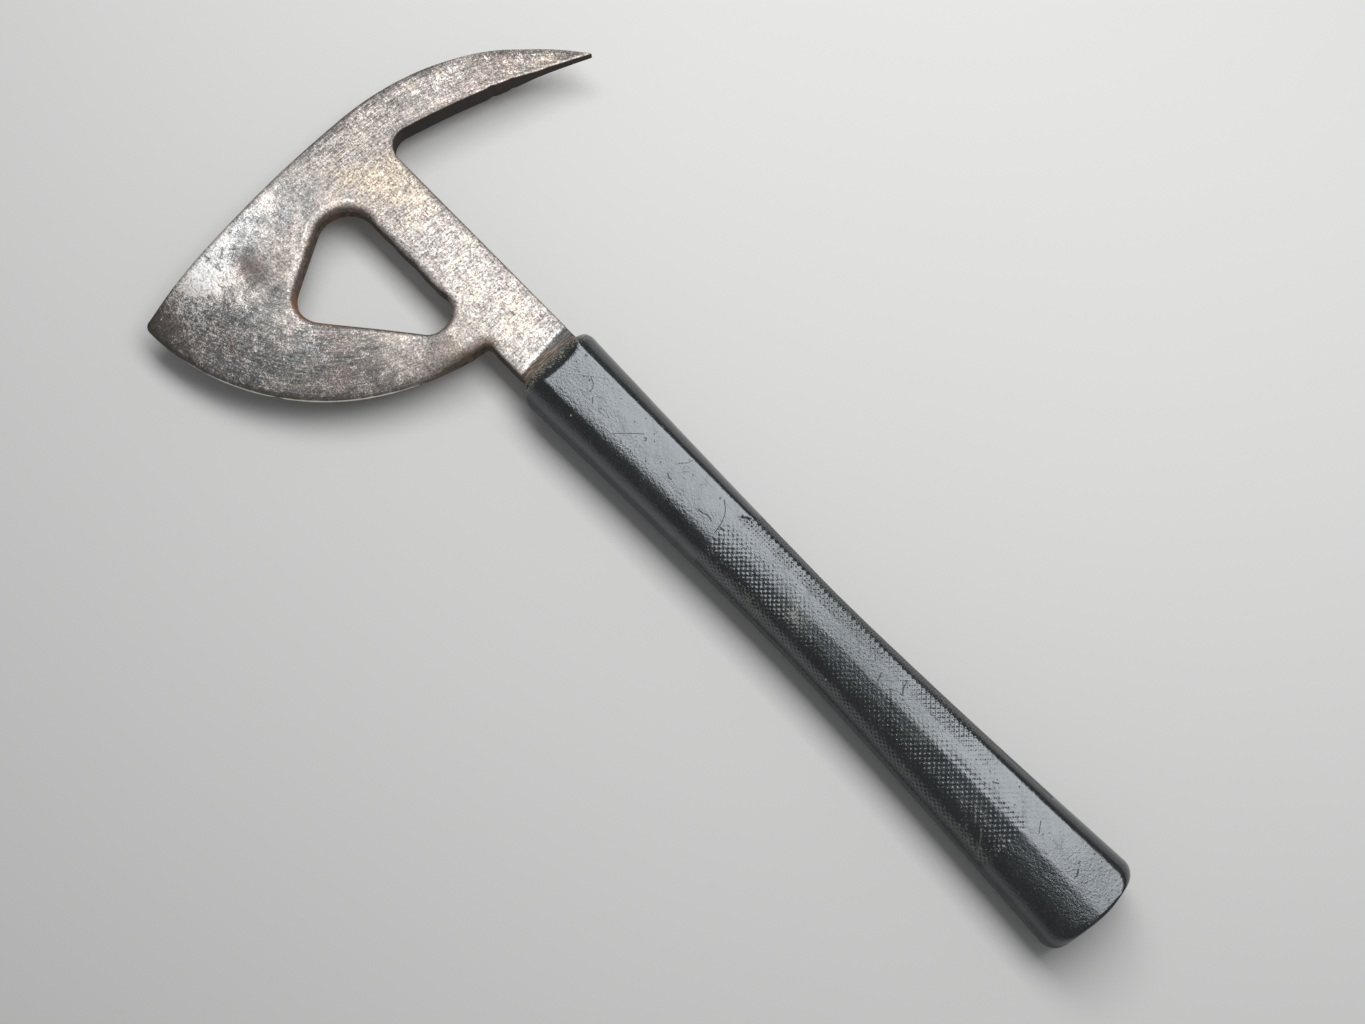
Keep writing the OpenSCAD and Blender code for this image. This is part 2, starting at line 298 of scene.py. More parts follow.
def head_outline():
    """The head, shank and tang seen from above, anticlockwise: stretches, each with its kind of edge."""
    half, tang = SHANK_W / 2, TANG_W / 2
    chamfer_x, chamfer_y = TANG_END - TANG_CHAMFER, tang - TANG_CHAMFER
    crotch_stop = angle_of(crotch_c - pick_inner_c, below=-math.pi / 2)
    inner_start = angle_of(crotch_c - pick_inner_c, above=0)
    inner_stop = angle_of(tip_corner - pick_inner_c, above=0)
    toe_back = angle_of(toe_c - blade_back_c, above=math.pi / 2)
    toe_edge = angle_of(toe_c - edge_c, above=toe_back)
    heel_stop = angle_of(heel_c - edge_c, above=toe_edge)
    heel_start = 2 * math.pi - math.asin((HEEL_THICK_Y + HEEL_FADE - EDGE_DROP) / EDGE_R)
    fillet_start = angle_of(edge_c - heel_c, above=math.pi / 2)
    return [
        ("tang", rail((TANG_END, chamfer_y), (chamfer_x, tang), (NECK_IN, tang), (NECK_IN, half))),
        ("shank", line((NECK_IN, half), (crotch_c[0], half))),
        ("crotch", arc(crotch_c, CROTCH_R, -math.pi / 2, crotch_stop)),
        ("pick", arc(pick_inner_c, PICK_INNER_R, inner_start, inner_stop)),
        ("pick", line(tip_corner, pick_tip, 0.5)),
        ("back", arc(pick_back_c, BACK_PICK_R, angle_of(pick_tip - pick_back_c), math.pi)),
        ("back", arc(blade_back_c, BACK_BLADE_R, math.pi, toe_back)),
        ("cutting", arc(toe_c, TOE_R, toe_back, toe_edge)),
        ("cutting", arc(edge_c, EDGE_R, toe_edge, heel_start)),
        ("heel", arc(edge_c, EDGE_R, heel_start, heel_stop)),
        ("heel", arc(heel_c, HEEL_FILLET_R, fillet_start, math.pi / 2, 0.4)),
        ("shank", line((heel_c[0], -half), (NECK_IN, -half))),
        ("tang", rail((NECK_IN, -half), (NECK_IN, -tang), (chamfer_x, -tang),
                      (TANG_END, -chamfer_y), (TANG_END, chamfer_y))),
    ]


def opening_outline():
    """The opening in the head, clockwise, so that the steel lies on the left."""
    sides = list(zip(OPENING, OPENING[1:] + OPENING[:1]))
    kinds = ("opening_rim", "opening_rim", "opening_top")
    turns = []
    for (c1, r1), (c2, r2) in sides:
        gap = c2 - c1
        turns.append(angle_of(gap) - math.acos((r1 - r2) / np.linalg.norm(gap)))
    stretches = []
    for i, ((c1, r1), (c2, r2)) in enumerate(sides):
        start, stop = turns[i - 1], turns[i]
        while stop < start:
            stop += 2 * math.pi
        stretches.append(("opening_rim", arc(c1, r1, start, stop)))
        n = np.array([math.cos(turns[i]), math.sin(turns[i])])
        stretches.append((kinds[i], line(c1 + r1 * n, c2 + r2 * n)))
    return [(kind, points[::-1]) for kind, points in reversed(stretches)]


def key_hole(x, radius):
    """One of the tang's keying holes, clockwise."""
    return arc(np.array([x, 0.0]), radius, 2 * math.pi, 0, 1.2)


def reach(points, loops):
    """From each point to the nearest place on closed loops: the distance, the loops' point before that
    place and the direction into the material there."""
    a = np.vstack(loops)
    b = np.vstack([np.roll(loop, -1, axis=0) for loop in loops])
    side = b - a
    length2 = (side ** 2).sum(1)
    gaps, places = np.zeros(len(points)), np.zeros(len(points), int)
    chunk = 1500
    for start in range(0, len(points), chunk):
        p = points[start:start + chunk, None, :]
        share = np.clip(((p - a) * side).sum(2) / length2, 0, 1)
        away = p - a - share[..., None] * side
        gap = np.hypot(away[..., 0], away[..., 1])
        best = gap.argmin(1)
        gaps[start:start + chunk] = gap[np.arange(len(best)), best]
        places[start:start + chunk] = best
    inward = np.column_stack([-side[:, 1], side[:, 0]]) / np.sqrt(length2)[:, None]
    return gaps, places, inward


def inside(points, loops):
    """Whether each point lies in the region between closed loops."""
    result = np.zeros(len(points), bool)
    x, y = points.T
    for loop in loops:
        for (ax, ay), (bx, by) in zip(loop, np.roll(loop, -1, axis=0)):
            if ay != by:
                crosses = ((ay > y) != (by > y)) & (x < (bx - ax) * (y - ay) / (by - ay) + ax)
                result ^= crosses
    return result


def fill(loops, inner=None):
    """Triangles, anticlockwise, between closed loops and through inner points. Also all the points."""
    points = np.vstack(loops if inner is None else [*loops, inner])
    edges, start = [], 0
    for loop in loops:
        n = len(loop)
        edges += [(start + i, start + (i + 1) % n) for i in range(n)]
        start += n
    found = delaunay_2d_cdt([Vector(p) for p in points], edges, [], 0, 1e-6)
    origin = np.array([ids[0] if ids else -1 for ids in found[3]])
    triangles = origin[np.array(found[2])]
    triangles = triangles[(triangles >= 0).all(1)]
    a, b, c = (points[triangles[:, i]] for i in range(3))
    area = (b[:, 0] - a[:, 0]) * (c[:, 1] - a[:, 1]) - (b[:, 1] - a[:, 1]) * (c[:, 0] - a[:, 0])
    triangles = triangles[inside((a + b + c) / 3, loops) & (np.abs(area) > 1e-9)]
    return triangles, points


def inner_points(loops):
    """Rows of points a little way in from the loops, and a triangular grid further in."""
    kept = []
    for loop in loops:
        before, after = np.roll(loop, 1, axis=0), np.roll(loop, -1, axis=0)
        along = after - before
        along /= np.hypot(along[:, 0], along[:, 1])[:, None]
        inward = np.column_stack([-along[:, 1], along[:, 0]])
        shown = loop[:, 0] < HIDDEN_FROM
        for inset in INSETS if shown.any() else ():
            row = (loop + inset * inward)[shown]
            gap, _, _ = reach(row, loops)
            kept.append(row[(gap > 0.96 * inset) & inside(row, loops)])
    low, high = loops[0].min(0), loops[0].max(0)
    for x_from, x_to, step, room in (
            (low[0], HIDDEN_FROM, STEP, INSETS[-1]), (HIDDEN_FROM, high[0], HIDDEN_STEP, 0)):
        xs = np.arange(x_from, x_to, step)
        ys = np.arange(low[1], high[1], step * math.sqrt(0.75))
        grid = np.array([(x + step / 2 * (j % 2), y) for j, y in enumerate(ys) for x in xs])
        wobble = np.column_stack([noise(np.c_[grid, 0 * grid[:, :1]], step, 5 + i) for i in range(2)])
        grid = grid + 0.12 * step * wobble
        grid = grid[inside(grid, loops)]
        gap, _, _ = reach(grid, loops)
        kept.append(grid[gap > room + 0.6 * step])
    return np.vstack(kept)


def slab(triangles, points, loop_sizes, top, bottom, rows=1, wall_shift=None):
    """Closed solid between a top and a bottom height at each plan point, with walls along the loops.
    Returns the vertices, the triangles and each vertex's plan point, with the walls' own last."""
    n = len(points)
    vertices = [np.c_[points, top], np.c_[points, bottom]]
    plan = [np.arange(n), np.arange(n)]
    faces = [triangles, triangles[:, ::-1] + n]
    made, start = 2 * n, 0
    for size in loop_sizes:
        ring = np.arange(start, start + size)
        columns = [ring]
        for row in range(1, rows):
            share = row / rows
            height = top[ring] + (bottom[ring] - top[ring]) * share
            vertices.append(np.c_[points[ring] + wall_shift(points[ring], height, share, ring), height])
            plan.append(ring)
            columns.append(np.arange(made, made + size))
            made += size
        columns.append(ring + n)
        for upper, lower in zip(columns, columns[1:]):
            upper_next, lower_next = np.roll(upper, -1), np.roll(lower, -1)
            faces.append(np.column_stack([upper, lower, lower_next]))
            faces.append(np.column_stack([upper, lower_next, upper_next]))
        start += size
    return np.vstack(vertices), np.vstack(faces), np.concatenate(plan)


def make_piece(name, vertices, faces, marks, material, sharp=38):
    """Object in metres from vertices in mm in the axe's frame. marks are numbers kept at each vertex."""
    same_place = 1e-7
    mesh = bpy.data.meshes.new(name)
    mesh.from_pydata(((vertices + MOUTH) * MM).tolist(), [], faces.tolist())
    for mark, values in marks.items():
        layer = mesh.attributes.new(mark, "FLOAT", "POINT")
        layer.data.foreach_set("value", np.asarray(values, np.float32))
    made = bmesh.new()
    made.from_mesh(mesh)
    bmesh.ops.remove_doubles(made, verts=made.verts, dist=same_place)
    for face in made.faces:
        face.smooth = True
    for edge in made.edges:
        edge.smooth = len(edge.link_faces) != 2 or edge.calc_face_angle(0) < math.radians(sharp)
    made.to_mesh(mesh)
    made.free()
    mesh.materials.append(material)
    piece = bpy.data.objects.new(name, mesh)
    bpy.context.scene.collection.objects.link(piece)
    return piece


class Value:
    """A number or colour that a shader's nodes make. Arithmetic with it adds a node to the shader."""

    def __init__(self, shader, socket):
        self.shader = shader
        self.socket = socket

    def __add__(self, other):
        return self.shader.math("ADD", self, other)

    def __sub__(self, other):
        return self.shader.math("SUBTRACT", self, other)

    def __rsub__(self, other):
        return self.shader.math("SUBTRACT", other, self)

    def __mul__(self, other):
        return self.shader.math("MULTIPLY", self, other)

    def __truediv__(self, other):
        return self.shader.math("DIVIDE", self, other)

    def __abs__(self):
        return self.shader.math("ABSOLUTE", self)


class Shader:
    """One material's nodes around a Principled shader. Inputs are Values, numbers or colours."""

    def __init__(self, name):
        self.material = bpy.data.materials.new(name)
        self.material.use_nodes = True
        self.tree = self.material.node_tree
        self.tree.nodes.clear()
        self.surface = self.node("ShaderNodeBsdfPrincipled")
        output = self.node("ShaderNodeOutputMaterial")
        self.tree.links.new(self.surface.outputs[0], output.inputs[0])
        self.place = self.value("ShaderNodeTexCoord", output="Object")
        split = self.node("ShaderNodeSeparateXYZ", {0: self.place})
        self.x, self.y = (Value(self, split.outputs[i]) for i in range(2))

    def node(self, kind, inputs=None, **settings):
        """A new node with its settings and inputs."""
        made = self.tree.nodes.new(kind)
        for key, value in settings.items():
            setattr(made, key, value)
        for key, value in (inputs or {}).items():
            self.put(made.inputs[key], value)
        return made

    def value(self, kind, inputs=None, output=0, **settings):
        """One output of a new node."""
        return Value(self, self.node(kind, inputs, **settings).outputs[output])

    def put(self, socket, value):
        """Links a Value to a socket, or sets the socket to a constant."""
        if isinstance(value, Value):
            self.tree.links.new(value.socket, socket)
        else:
            socket.default_value = value

    def set(self, **values):
        """Sets the Principled shader's inputs; an underscore in a name stands for a space."""
        for key, value in values.items():
            self.put(self.surface.inputs[key.replace("_", " ")], value)

    def math(self, operation, a, b=0.0, clamp=False):
        """One arithmetic step, held between 0 and 1 where clamp is set."""
        return self.value("ShaderNodeMath", {0: a, 1: b}, operation=operation, use_clamp=clamp)

    def mark(self, name):
        """A number that the mesh keeps at its vertices."""
        return self.value("ShaderNodeAttribute", output="Fac", attribute_name=name)

    def blend(self, share, a, b):
        """Colour that goes from a to b."""
        a, b = (colour if isinstance(colour, Value) else (*colour, 1) for colour in (a, b))
        return self.value("ShaderNodeMix", {0: share, 6: a, 7: b}, 2, data_type="RGBA")

    def between(self, share, a, b):
        """Number that goes from a to b."""
        return self.value("ShaderNodeMix", {0: share, 2: a, 3: b}, data_type="FLOAT")

    def window(self, value, low, high):
        """0 below low, 1 above high and smooth between."""
        ends = {0: value, 1: low, 2: high, 3: 0.0, 4: 1.0}
        return self.value("ShaderNodeMapRange", ends, interpolation_type="SMOOTHSTEP")

    def highest(self, *values):
        """The highest of several values."""
        highest = values[0]
        for value in values[1:]:
            highest = self.math("MAXIMUM", highest, value)
        return highest

    def mapped(self, vector, at=0.0, turn=0.0, scale=(1, 1, 1)):
        """A place that is turned about z, or scaled and shifted."""
        return self.value("ShaderNodeMapping", {0: vector, 1: (at, at, at), 2: (0, 0, turn), 3: scale})

    def texture(self, vector, detail, rough, bend=0.0):
        """Noise about 0.5 with features of size 1."""
        inputs = {"Vector": vector, "Scale": 1.0, "Detail": detail, "Roughness": rough, "Distortion": bend}
        return self.value("ShaderNodeTexNoise", inputs)

    def noise(self, size, detail=2.0, rough=0.5, stretch=(1, 1, 1), turn=0.0, bend=0.0, at=0.0):
        """Noise with features of a size in mm, longer along an axis where stretch is above 1."""
        scale = [1 / (size * MM * s) for s in stretch]
        placed = self.mapped(self.mapped(self.place, turn=turn), at, scale=scale)
        return self.texture(placed, detail, rough, bend)

    def streaks(self, along, across, length, size, at=0.0):
        """Noise drawn out along a curve, from the places along and across it in mm."""
        inputs = {0: along / length, 1: across / size, 2: at}
        return self.texture(self.value("ShaderNodeCombineXYZ", inputs), 3.0, 0.65)

    def near(self, off, inner, outer):
        """1 where off is below inner, 0 where it is above outer and smooth between."""
        return 1 - self.window(off, inner, outer)

    def hairline(self, field, level, width):
        """Thin lines where a noise passes a level."""
        return self.near(abs(field - level), 0.0, width)

    def dots(self, spacing, radius, share, at=0.0):
        """Scattered round spots of a radius in mm, on a share of the places about a spacing apart."""
        placed = self.mapped(self.place, at, scale=[1 / (spacing * MM)] * 3)
        cells = self.node("ShaderNodeTexVoronoi", {"Vector": placed, "Scale": 1.0})
        off, colour = (Value(self, cells.outputs[name]) for name in ("Distance", "Color"))
        spot = self.near(off, 0.3 * radius / spacing, radius / spacing)
        return spot * self.math("LESS_THAN", colour, share)

    def path(self, width, *places):
        """1 near the line through places in the axe's plan, in mm."""
        return self.highest(*(self.stroke(a, b, width) for a, b in zip(places, places[1:])))

    def stroke(self, start, stop, width):
        """1 near a straight line between two places in the axe's plan, in mm."""
        a, b = ((np.array(place) + MOUTH[:2]) * MM for place in (start, stop))
        length = math.hypot(*(b - a))
        ux, uy = (b - a) / length
        dx, dy = self.x - a[0], self.y - a[1]
        along = (dx * ux + dy * uy - length / 2) * (2 / length)
        off = dy * ux - dx * uy
        return self.near(abs(along), 0.8, 1.05) * self.near(abs(off), 0.2 * width * MM, width * MM)

    def relief(self, height, distance, under=None):
        """Bump of a height in mm where the height input goes from 0 to 1."""
        inputs = {"Strength": 1.0, "Distance": distance * MM, "Height": height}
        if under is not None:
            inputs["Normal"] = under
        return self.value("ShaderNodeBump", inputs)


def swing(field, amount):
    """A noise about 0.5 as a change of up to half an amount either way."""
    return (field - 0.5) * amount


def steel_half(points):
    """Half the steel's thickness before its edges are rounded: cheeks, heel, pick and neck."""
    x, y = points.T
    depth = EDGE_R - np.hypot(x - edge_c[0], y - edge_c[1])
    share = np.clip((depth - BEVEL_W) / (CHEEK_L - BEVEL_W), 0, 1)
    cheek = BEVEL_T / 2 + (STEEL_T - BEVEL_T) / 2 * np.sin(math.pi / 2 * share)
    bevel = EDGE_T / 2 + (BEVEL_T - EDGE_T) / 2 * np.clip(depth / BEVEL_W, 0, 1)
    cheek = np.where(depth < BEVEL_W, bevel, cheek)
    half = STEEL_T / 2
    heights = (-HEEL_THICK_Y - HEEL_FADE, -HEEL_THICK_Y, PICK_ROOT_Y, PICK_REACH + 2)
    side = np.interp(y, heights, (EDGE_T / 2, half, half, PICK_TIP_T / 2))
    thick = np.maximum(cheek, side)
    past = x - GROUND_END_X - GROUND_SLANT * y
    return thick + (TANG_T / 2 - thick) * rise(past, 0.0, GROUND_FADE)


def from_back(p):
    """Places along the curve of the back, from its apex, and how far in from it."""
    on_pick = p[:, 1] > BACK_APEX_Y
    radius = np.where(on_pick, BACK_PICK_R, BACK_BLADE_R)
    away = p - np.where(on_pick[:, None], pick_back_c, blade_back_c)
    turned = np.arctan2(away[:, 1], away[:, 0]) % (2 * math.pi)
    return (turned - math.pi) * radius, radius - np.hypot(away[:, 0], away[:, 1])


def steel_tone(p):
    """How bright the steel looks, from the shank's polish to the darker blade, with some painted shade by
    its edges.
    """
    x, y = p.T
    tone = np.full(len(p), 0.39)
    tone += 0.09 * rise(x, -95, -60) * rise(y, -16, -6)
    tone += (0.17 - tone) * rise(-y + 0.28 * (x + 110), 52, 84)
    tone += (0.20 - tone) * rise(x, -85, -55) * rise(-y, 30, 62)
    tone = dabs(tone, p,
        (0.32, (-75, -62), (20, 7), 1.0),
        (0.44, (-35, -28), (11, 12), 1.0),
        (0.48, (-97, 0), (13, 10), 1.0),
        (0.46, (-108, -32), (10, 14), 0.8),
        (0.30, (-112, 20), (11, 13), 0.8),
        (0.30, (-113, 44), (9, 11), 0.8),
        (0.24, (-104, 68), (9, 12), 0.8),
        (0.45, (-78, -2), (12, 9), 0.7),
        (0.51, (-22, 0), (22, 10), 0.9),
        (0.10, (-114, -96), (17, 11), 0.9),
        (0.18, (-88, 90), (9, 9), 0.8),
        # Painted shade on the back by the pick.
        (0.27, (-121, 14), (4, 12), 0.6),
        (0.16, (-103, -57), (9, 4.5), 0.85))
    _, off_back = from_back(p)
    # Painted shade: a darker band along the rounded back.
    tone = tone * (1 - 0.38 * fall(off_back, 1.5, 5.5) * rise(y, -28, -6))
    # Painted shade: the rounded shoulder of the shank on the pick's side is darker.
    pick_shoulder_shade = rise(y, 9.0, 10.4) * fall(y, 13, 15) * rise(x, -98, -88)
    return tone * (1 - 0.22 * pick_shoulder_shade)


def white_wear(p):
    """Where the blade is worn bright and white by handling."""
    wear = np.full(len(p), 0.12)
    return dabs(wear, p,
        (1.75, (-112, -72), (8, 13), 1.0),
        (1.0, (-118, -56), (6, 14), 1.0),
        (0.8, (-121.5, -40), (4, 15), 0.9),
        (0.7, (-99, -66), (10, 6), 0.8),
        (0.30, (-80, -80), (28, 13), 0.6),
        (0.45, (-103, -82), (12, 8), 0.7),
        (0.55, (-70, -60), (12, 5), 0.6),
        (0.65, (-106, -87), (9, 5), 0.7),
        (0.45, (-113, 44), (5, 13), 0.7),
        (0.45, (-100, 72), (4, 8), 0.6),
        (0.5, (-107, -40), (9, 9), 0.5),
        (0.45, (-45, 1), (40, 7), 0.7),
        (0.42, (-121, 8), (2, 30), 0.7),
        (-0.5, (-103, -57), (9, 4), 1.0),
        (-0.2, (-113, -66), (1.8, 1.2), 0.7),
        (-0.2, (-116.5, -51), (1.4, 1.8), 0.7),
        (-0.4, (-117, -98), (14, 9), 0.9))


def gold_warmth(p):
    """The steel's cast: 0 is neutral, 0.5 a warm grey and 1 golden."""
    warm = np.full(len(p), 0.5)
    return dabs(warm, p,
        (1.0, (-97, 1), (15, 10), 1.0),
        (0.8, (-107, -8), (6, 6), 0.8),
        (0.68, (-24, -24), (10, 12), 0.8),
        (0.75, (-28, 0), (14, 9), 0.7),
        (0.75, (-92, 80), (9, 12), 0.8),
        (0.12, (-84, -80), (46, 24), 0.9),
        (0.0, (-116, -52), (9, 28), 0.9),
        # A neutral cast on the neck's pick side gives its painted reflection of the sky.
        (0.0, (-4.5, 8), (2.2, 6), 1.0))


def plum_cast(p):
    """Where the patina is a dark plum brown."""
    plum = np.full(len(p), 0.25)
    return dabs(plum, p,
        (1.0, (-105, -56), (9, 5), 1.0),
        (0.8, (-90, -84), (16, 7), 1.0),
        (0.7, (-52, -62), (12, 12), 1.0),
        (0.9, (-104, 60), (8, 18), 1.0),
        (0.8, (-30, -32), (9, 12), 1.0),
        (0.9, (-114, -95), (12, 8), 1.0))


def brushing(p):
    """How plainly brush lines show: on the shank and along the back."""
    x, y = p.T
    brush = 0.35 + 0.65 * rise(y, -20, -8) * fall(y, 16, 30)
    return np.maximum(brush, 0.8 * fall(x, -118, -104) * rise(y, -40, -20))


def crispness(p):
    """How crisp the finest grain of the steel is: on the shank, the pick and beside the opening."""
    crisp = np.maximum(brushing(p), rise(p[:, 1], 22, 42))
    return dabs(crisp, p,
        (0.9, (-30, -28), (14, 16), 1.0),
        (0.9, (-104, -36), (14, 22), 1.0))


def edge_lines_and_highlight(p, gap):
    """Bright lines along the pick's inner edge, by the opening and along the shank's edges near the neck,
    and a painted highlight on the rounded edge round the end of the ground faces.
    """
    x, y = p.T
    on_pick = rise(y, 40, 55) * rise(x - BACK_X - 8, 0, 6)
    pick = on_pick * peak(gap - 0.5, 0.45)
    past = x - GROUND_END_X - GROUND_SLANT * y
    # Painted highlight on the rounded edge round the end of the ground faces.
    end = peak(past + 0.5, 0.5) * (np.abs(y) < SHANK_W / 2 - 0.8)
    low = peak(gap - 1.0, 0.6) * rise(x, -40, -30) * fall(past, -1, 0)
    by_opening = rise(x, -112, -108) * fall(x, -90, -84) * rise(-y, 8, 14)
    by_opening = by_opening * fall(-y, 48, 56) * peak(gap - 3.5, 0.5)
    return np.clip(pick + end + 0.6 * low * (np.abs(y) < SHANK_W / 2) + 0.8 * by_opening, 0, 1)


def cutting_line(p):
    """The bare bright line along the very edge of the blade, which fades towards the toe and the heel."""
    x, y = p.T
    depth = EDGE_R - np.hypot(x - edge_c[0], y - edge_c[1])
    run = rise(x, -106, -92) * fall(x, -34, -22) * (y < 0)
    return run * (0.5 + 0.5 * rise(x, -86, -72)) * peak(depth, 0.4)


def rusting_and_seam_shade(p, gap):
    """Where rust stains the steel, also in a line along the opening's rim by its point, and next to the
    grip, where it is also painted shade in the seam.
    """
    rust_and_seam_shade = dabs(np.zeros(len(p)), p, (1.0, (-115, -83), (4, 4), 0.8))
    by_point = rise(p[:, 0], -87, -84) * fall(p[:, 0], -66, -56)
    by_point = by_point * rise(-p[:, 1], 42, 47) * fall(-p[:, 1], 60, 62)
    rust_and_seam_shade = np.maximum(rust_and_seam_shade, by_point * (0.9 * peak(gap, 1.1) + 0.7 * peak(gap, 3.0)))
    rust_and_seam_shade = dabs(rust_and_seam_shade, p,
        (0.7, (-22, -20), (5, 10), 0.6),
        (0.8, (-110, 2), (2, 1.5), 0.4))
    # Next to the grip: rust, and painted shade in the seam.
    return np.maximum(rust_and_seam_shade, rise(p[:, 0], -1.6, -0.6))


def nicks(p):
    """How far small knocks have pushed the outline in."""
    return dabs(np.zeros(len(p)), p,
        (0.5, (-97.6, 58), (2, 1.2), 1.0),
        (0.35, (-95.6, 66), (1.5, 1.0), 1.0),
        (0.6, (-46, -11.9), (2.2, 1.0), 1.0),
        (0.4, (-64, -11.9), (3.5, 1.2), 1.0),
        (0.3, (-77, -11.9), (2.0, 1.0), 1.0),
        (0.3, (-60, -83), (2.0, 2.0), 1.0))


def soften(values, width=4):
    """Evens out numbers along a closed row, so that one kind of edge runs smoothly into the next."""
    window = np.arange(-2 * width, 2 * width + 1)
    weights = np.exp(-(window / width) ** 2)
    weights /= weights.sum()
    return sum(w * np.roll(values, k, axis=0) for k, w in zip(window, weights))


def edge_rows(stretches):
    """Points of an outline, and how its edge is finished at each of them."""
    points = np.vstack([part for _, part in stretches])
    finish = np.vstack([np.tile(EDGE_FINISH[kind], (len(part), 1)) for kind, part in stretches])
    return points, soften(finish)


def kind_share(finish, kind):
    """1 where the edge is finished as one kind is, fading with the difference."""
    off = np.abs(finish - np.array(EDGE_FINISH[kind])).sum(1)
    return np.clip(1 - off / 0.5, 0, 1)


def steel_marks(at, gap, wall, rim, below):
    """Numbers for the steel's material at each vertex: its place, how far in from the edges it is, whether
    it is on a wall, how much of the rounded rim it is on, and whether it is on the underside."""
    x, y = at.T
    from_edge = at - edge_c
    around_edge = -np.arctan2(-from_edge[:, 1], from_edge[:, 0]) * EDGE_R
    off_cut = EDGE_R - np.hypot(from_edge[:, 0], from_edge[:, 1])
    along_back, off_back = from_back(at)
    by_back = y > -24
    on_back = 1 - rise(off_back, 14, 21) * fall(y, 18, 28)
    on_back = on_back * rise(y, -23, -8)
    on_cheek = rise(x, -112, -86) * rise(-y, 24, 44)
    return {
        "tone": steel_tone(at),
        "white": np.where(below, 0.4, 1.0) * white_wear(at),
        "warm": gold_warmth(at),
        "plum": plum_cast(at),
        "rust_and_seam_shade": rusting_and_seam_shade(at, gap),
        "wall": wall | (gap < 0.02),
        "rim": rim,
        "edge": np.clip(1 - gap / 3.2, 0, 1),
        "brush": brushing(at),
        "crisp": crispness(at),
        "arc": np.where(by_back, along_back, around_edge),
        "deep": np.where(by_back, off_back, off_cut),
        "cut": np.where(y < -SHANK_W / 2 - 1, off_cut, EDGE_R),
        "ground": np.where(by_back, on_back, on_cheek),
        "bare": cutting_line(at),
        "burr_and_highlight": edge_lines_and_highlight(at, gap),
        "neck": rise(x - GROUND_END_X - GROUND_SLANT * y, 0.0, GROUND_FADE),
        "bevel": rise(-steel_half(at), -BEVEL_T / 2 - 0.05, -BEVEL_T / 2 + 0.1),
    }


def worn_heights(points, finish, gap):
    """Heights of the steel's top and bottom, with rounded edges, uneven wear, a scalloped rim and a pit,
    and how much of the rounded rim each point is on."""
    corner, shoulder_w, shoulder = finish.T
    flat = np.c_[points, 0 * gap]
    half = steel_half(points)
    corner = np.minimum(corner, 0.5 * half)
    shoulder = np.minimum(shoulder, 0.3 * half)
    corner_left = np.clip(1 - gap / np.maximum(corner, 1e-6), 0, 1)
    drop = corner * (1 - np.sqrt(1 - corner_left ** 2))
    drop += shoulder * np.clip(1 - gap / shoulder_w, 0, 1) ** 2
    shown = rise(-points[:, 0], 0, 3)
    uneven = 0.03 + 0.03 * fractal(flat, 9, 3) + 0.02 * fractal(flat, 2.5, 8)
    worn = shown * np.clip(uneven, 0, None) * rise(half, 0.3, 2)
    scallop = kind_share(finish, "opening_top") * (0.5 + 0.5 * noise(flat, 3.5, 4))
    drop += scallop * 0.5 * peak(gap, 1.2)
    pit = dabs(np.zeros(len(points)), points, (0.35, (-50.5, 4), (1.1, 0.8), 1.0))
    top = half - drop - worn - pit
    bottom = -(half - drop - shown * np.clip(0.03 + 0.03 * fractal(flat + 50, 9, 6), 0, None))
    rim = np.clip(1 - gap / (0.9 * shoulder_w), 0, 1) * shoulder / 0.9
    return top, bottom, rim


def build_steel(material):
    """The forging: head, shank, neck and tang in one piece."""
    outer, outer_finish = edge_rows(head_outline())
    opening, rim_finish = edge_rows(opening_outline())
    holes = [key_hole(x, KEY_D / 2) for x in KEY_PLACES]
    loops = [outer, opening] + holes
    hidden = np.tile(EDGE_FINISH["tang"], (sum(map(len, holes)), 1))
    finish = np.vstack([outer_finish, rim_finish, hidden])
    triangles, points = fill(loops, inner_points(loops))

    gap, place, inward = reach(points, loops)
    top, bottom, rim = worn_heights(points, finish[place], gap)
    half = steel_half(points)
    shown = rise(-points[:, 0], 0, 3)
    uneven = 0.08 + 0.07 * fractal(np.c_[points, 0 * gap], 5, 11)
    push = shown * (uneven + nicks(points))
    points = points + inward[place] * (np.clip(push, 0, None) * peak(gap, 1.6))[:, None]
    points[:, 1] = np.minimum(points[:, 1], PICK_REACH)

    def wall_shift(at, height, share, ring):
        """How far each point of a wall's row lies in from the edge above it."""
        bumps = 0.06 + 0.06 * fractal(np.c_[at, height], 2.2, 14)
        amount = shown[ring] * np.clip(bumps, 0, None) * math.sin(math.pi * share) * (half[ring] > 1)
        return inward[place[ring]] * amount[:, None]

    sizes = [len(loop) for loop in loops]
    vertices, faces, plan = slab(triangles, points, sizes, top, bottom, WALL_ROWS, wall_shift)
    vertices[:, 1] = np.minimum(vertices[:, 1], PICK_REACH)
    number = np.arange(len(vertices))
    wall = number >= 2 * len(points)
    below = (number >= len(points)) & ~wall
    marks = steel_marks(points[plan], gap[plan], wall, rim[plan], below)
    return make_piece("worn_steel", vertices, faces, marks, material)


# Butt seen from above: a corner arc that runs on into the bowed end, and where the two touch
corner_y = GRIP_BUTT_W / 2 - BUTT_ROUND
bow_x = GRIP_L - BUTT_BOW_R
corner_x = bow_x + math.sqrt((BUTT_BOW_R - BUTT_ROUND) ** 2 - corner_y ** 2)
touch_share = BUTT_BOW_R / (BUTT_BOW_R - BUTT_ROUND)
touch_x = bow_x + touch_share * (corner_x - bow_x)
touch_y = touch_share * corner_y


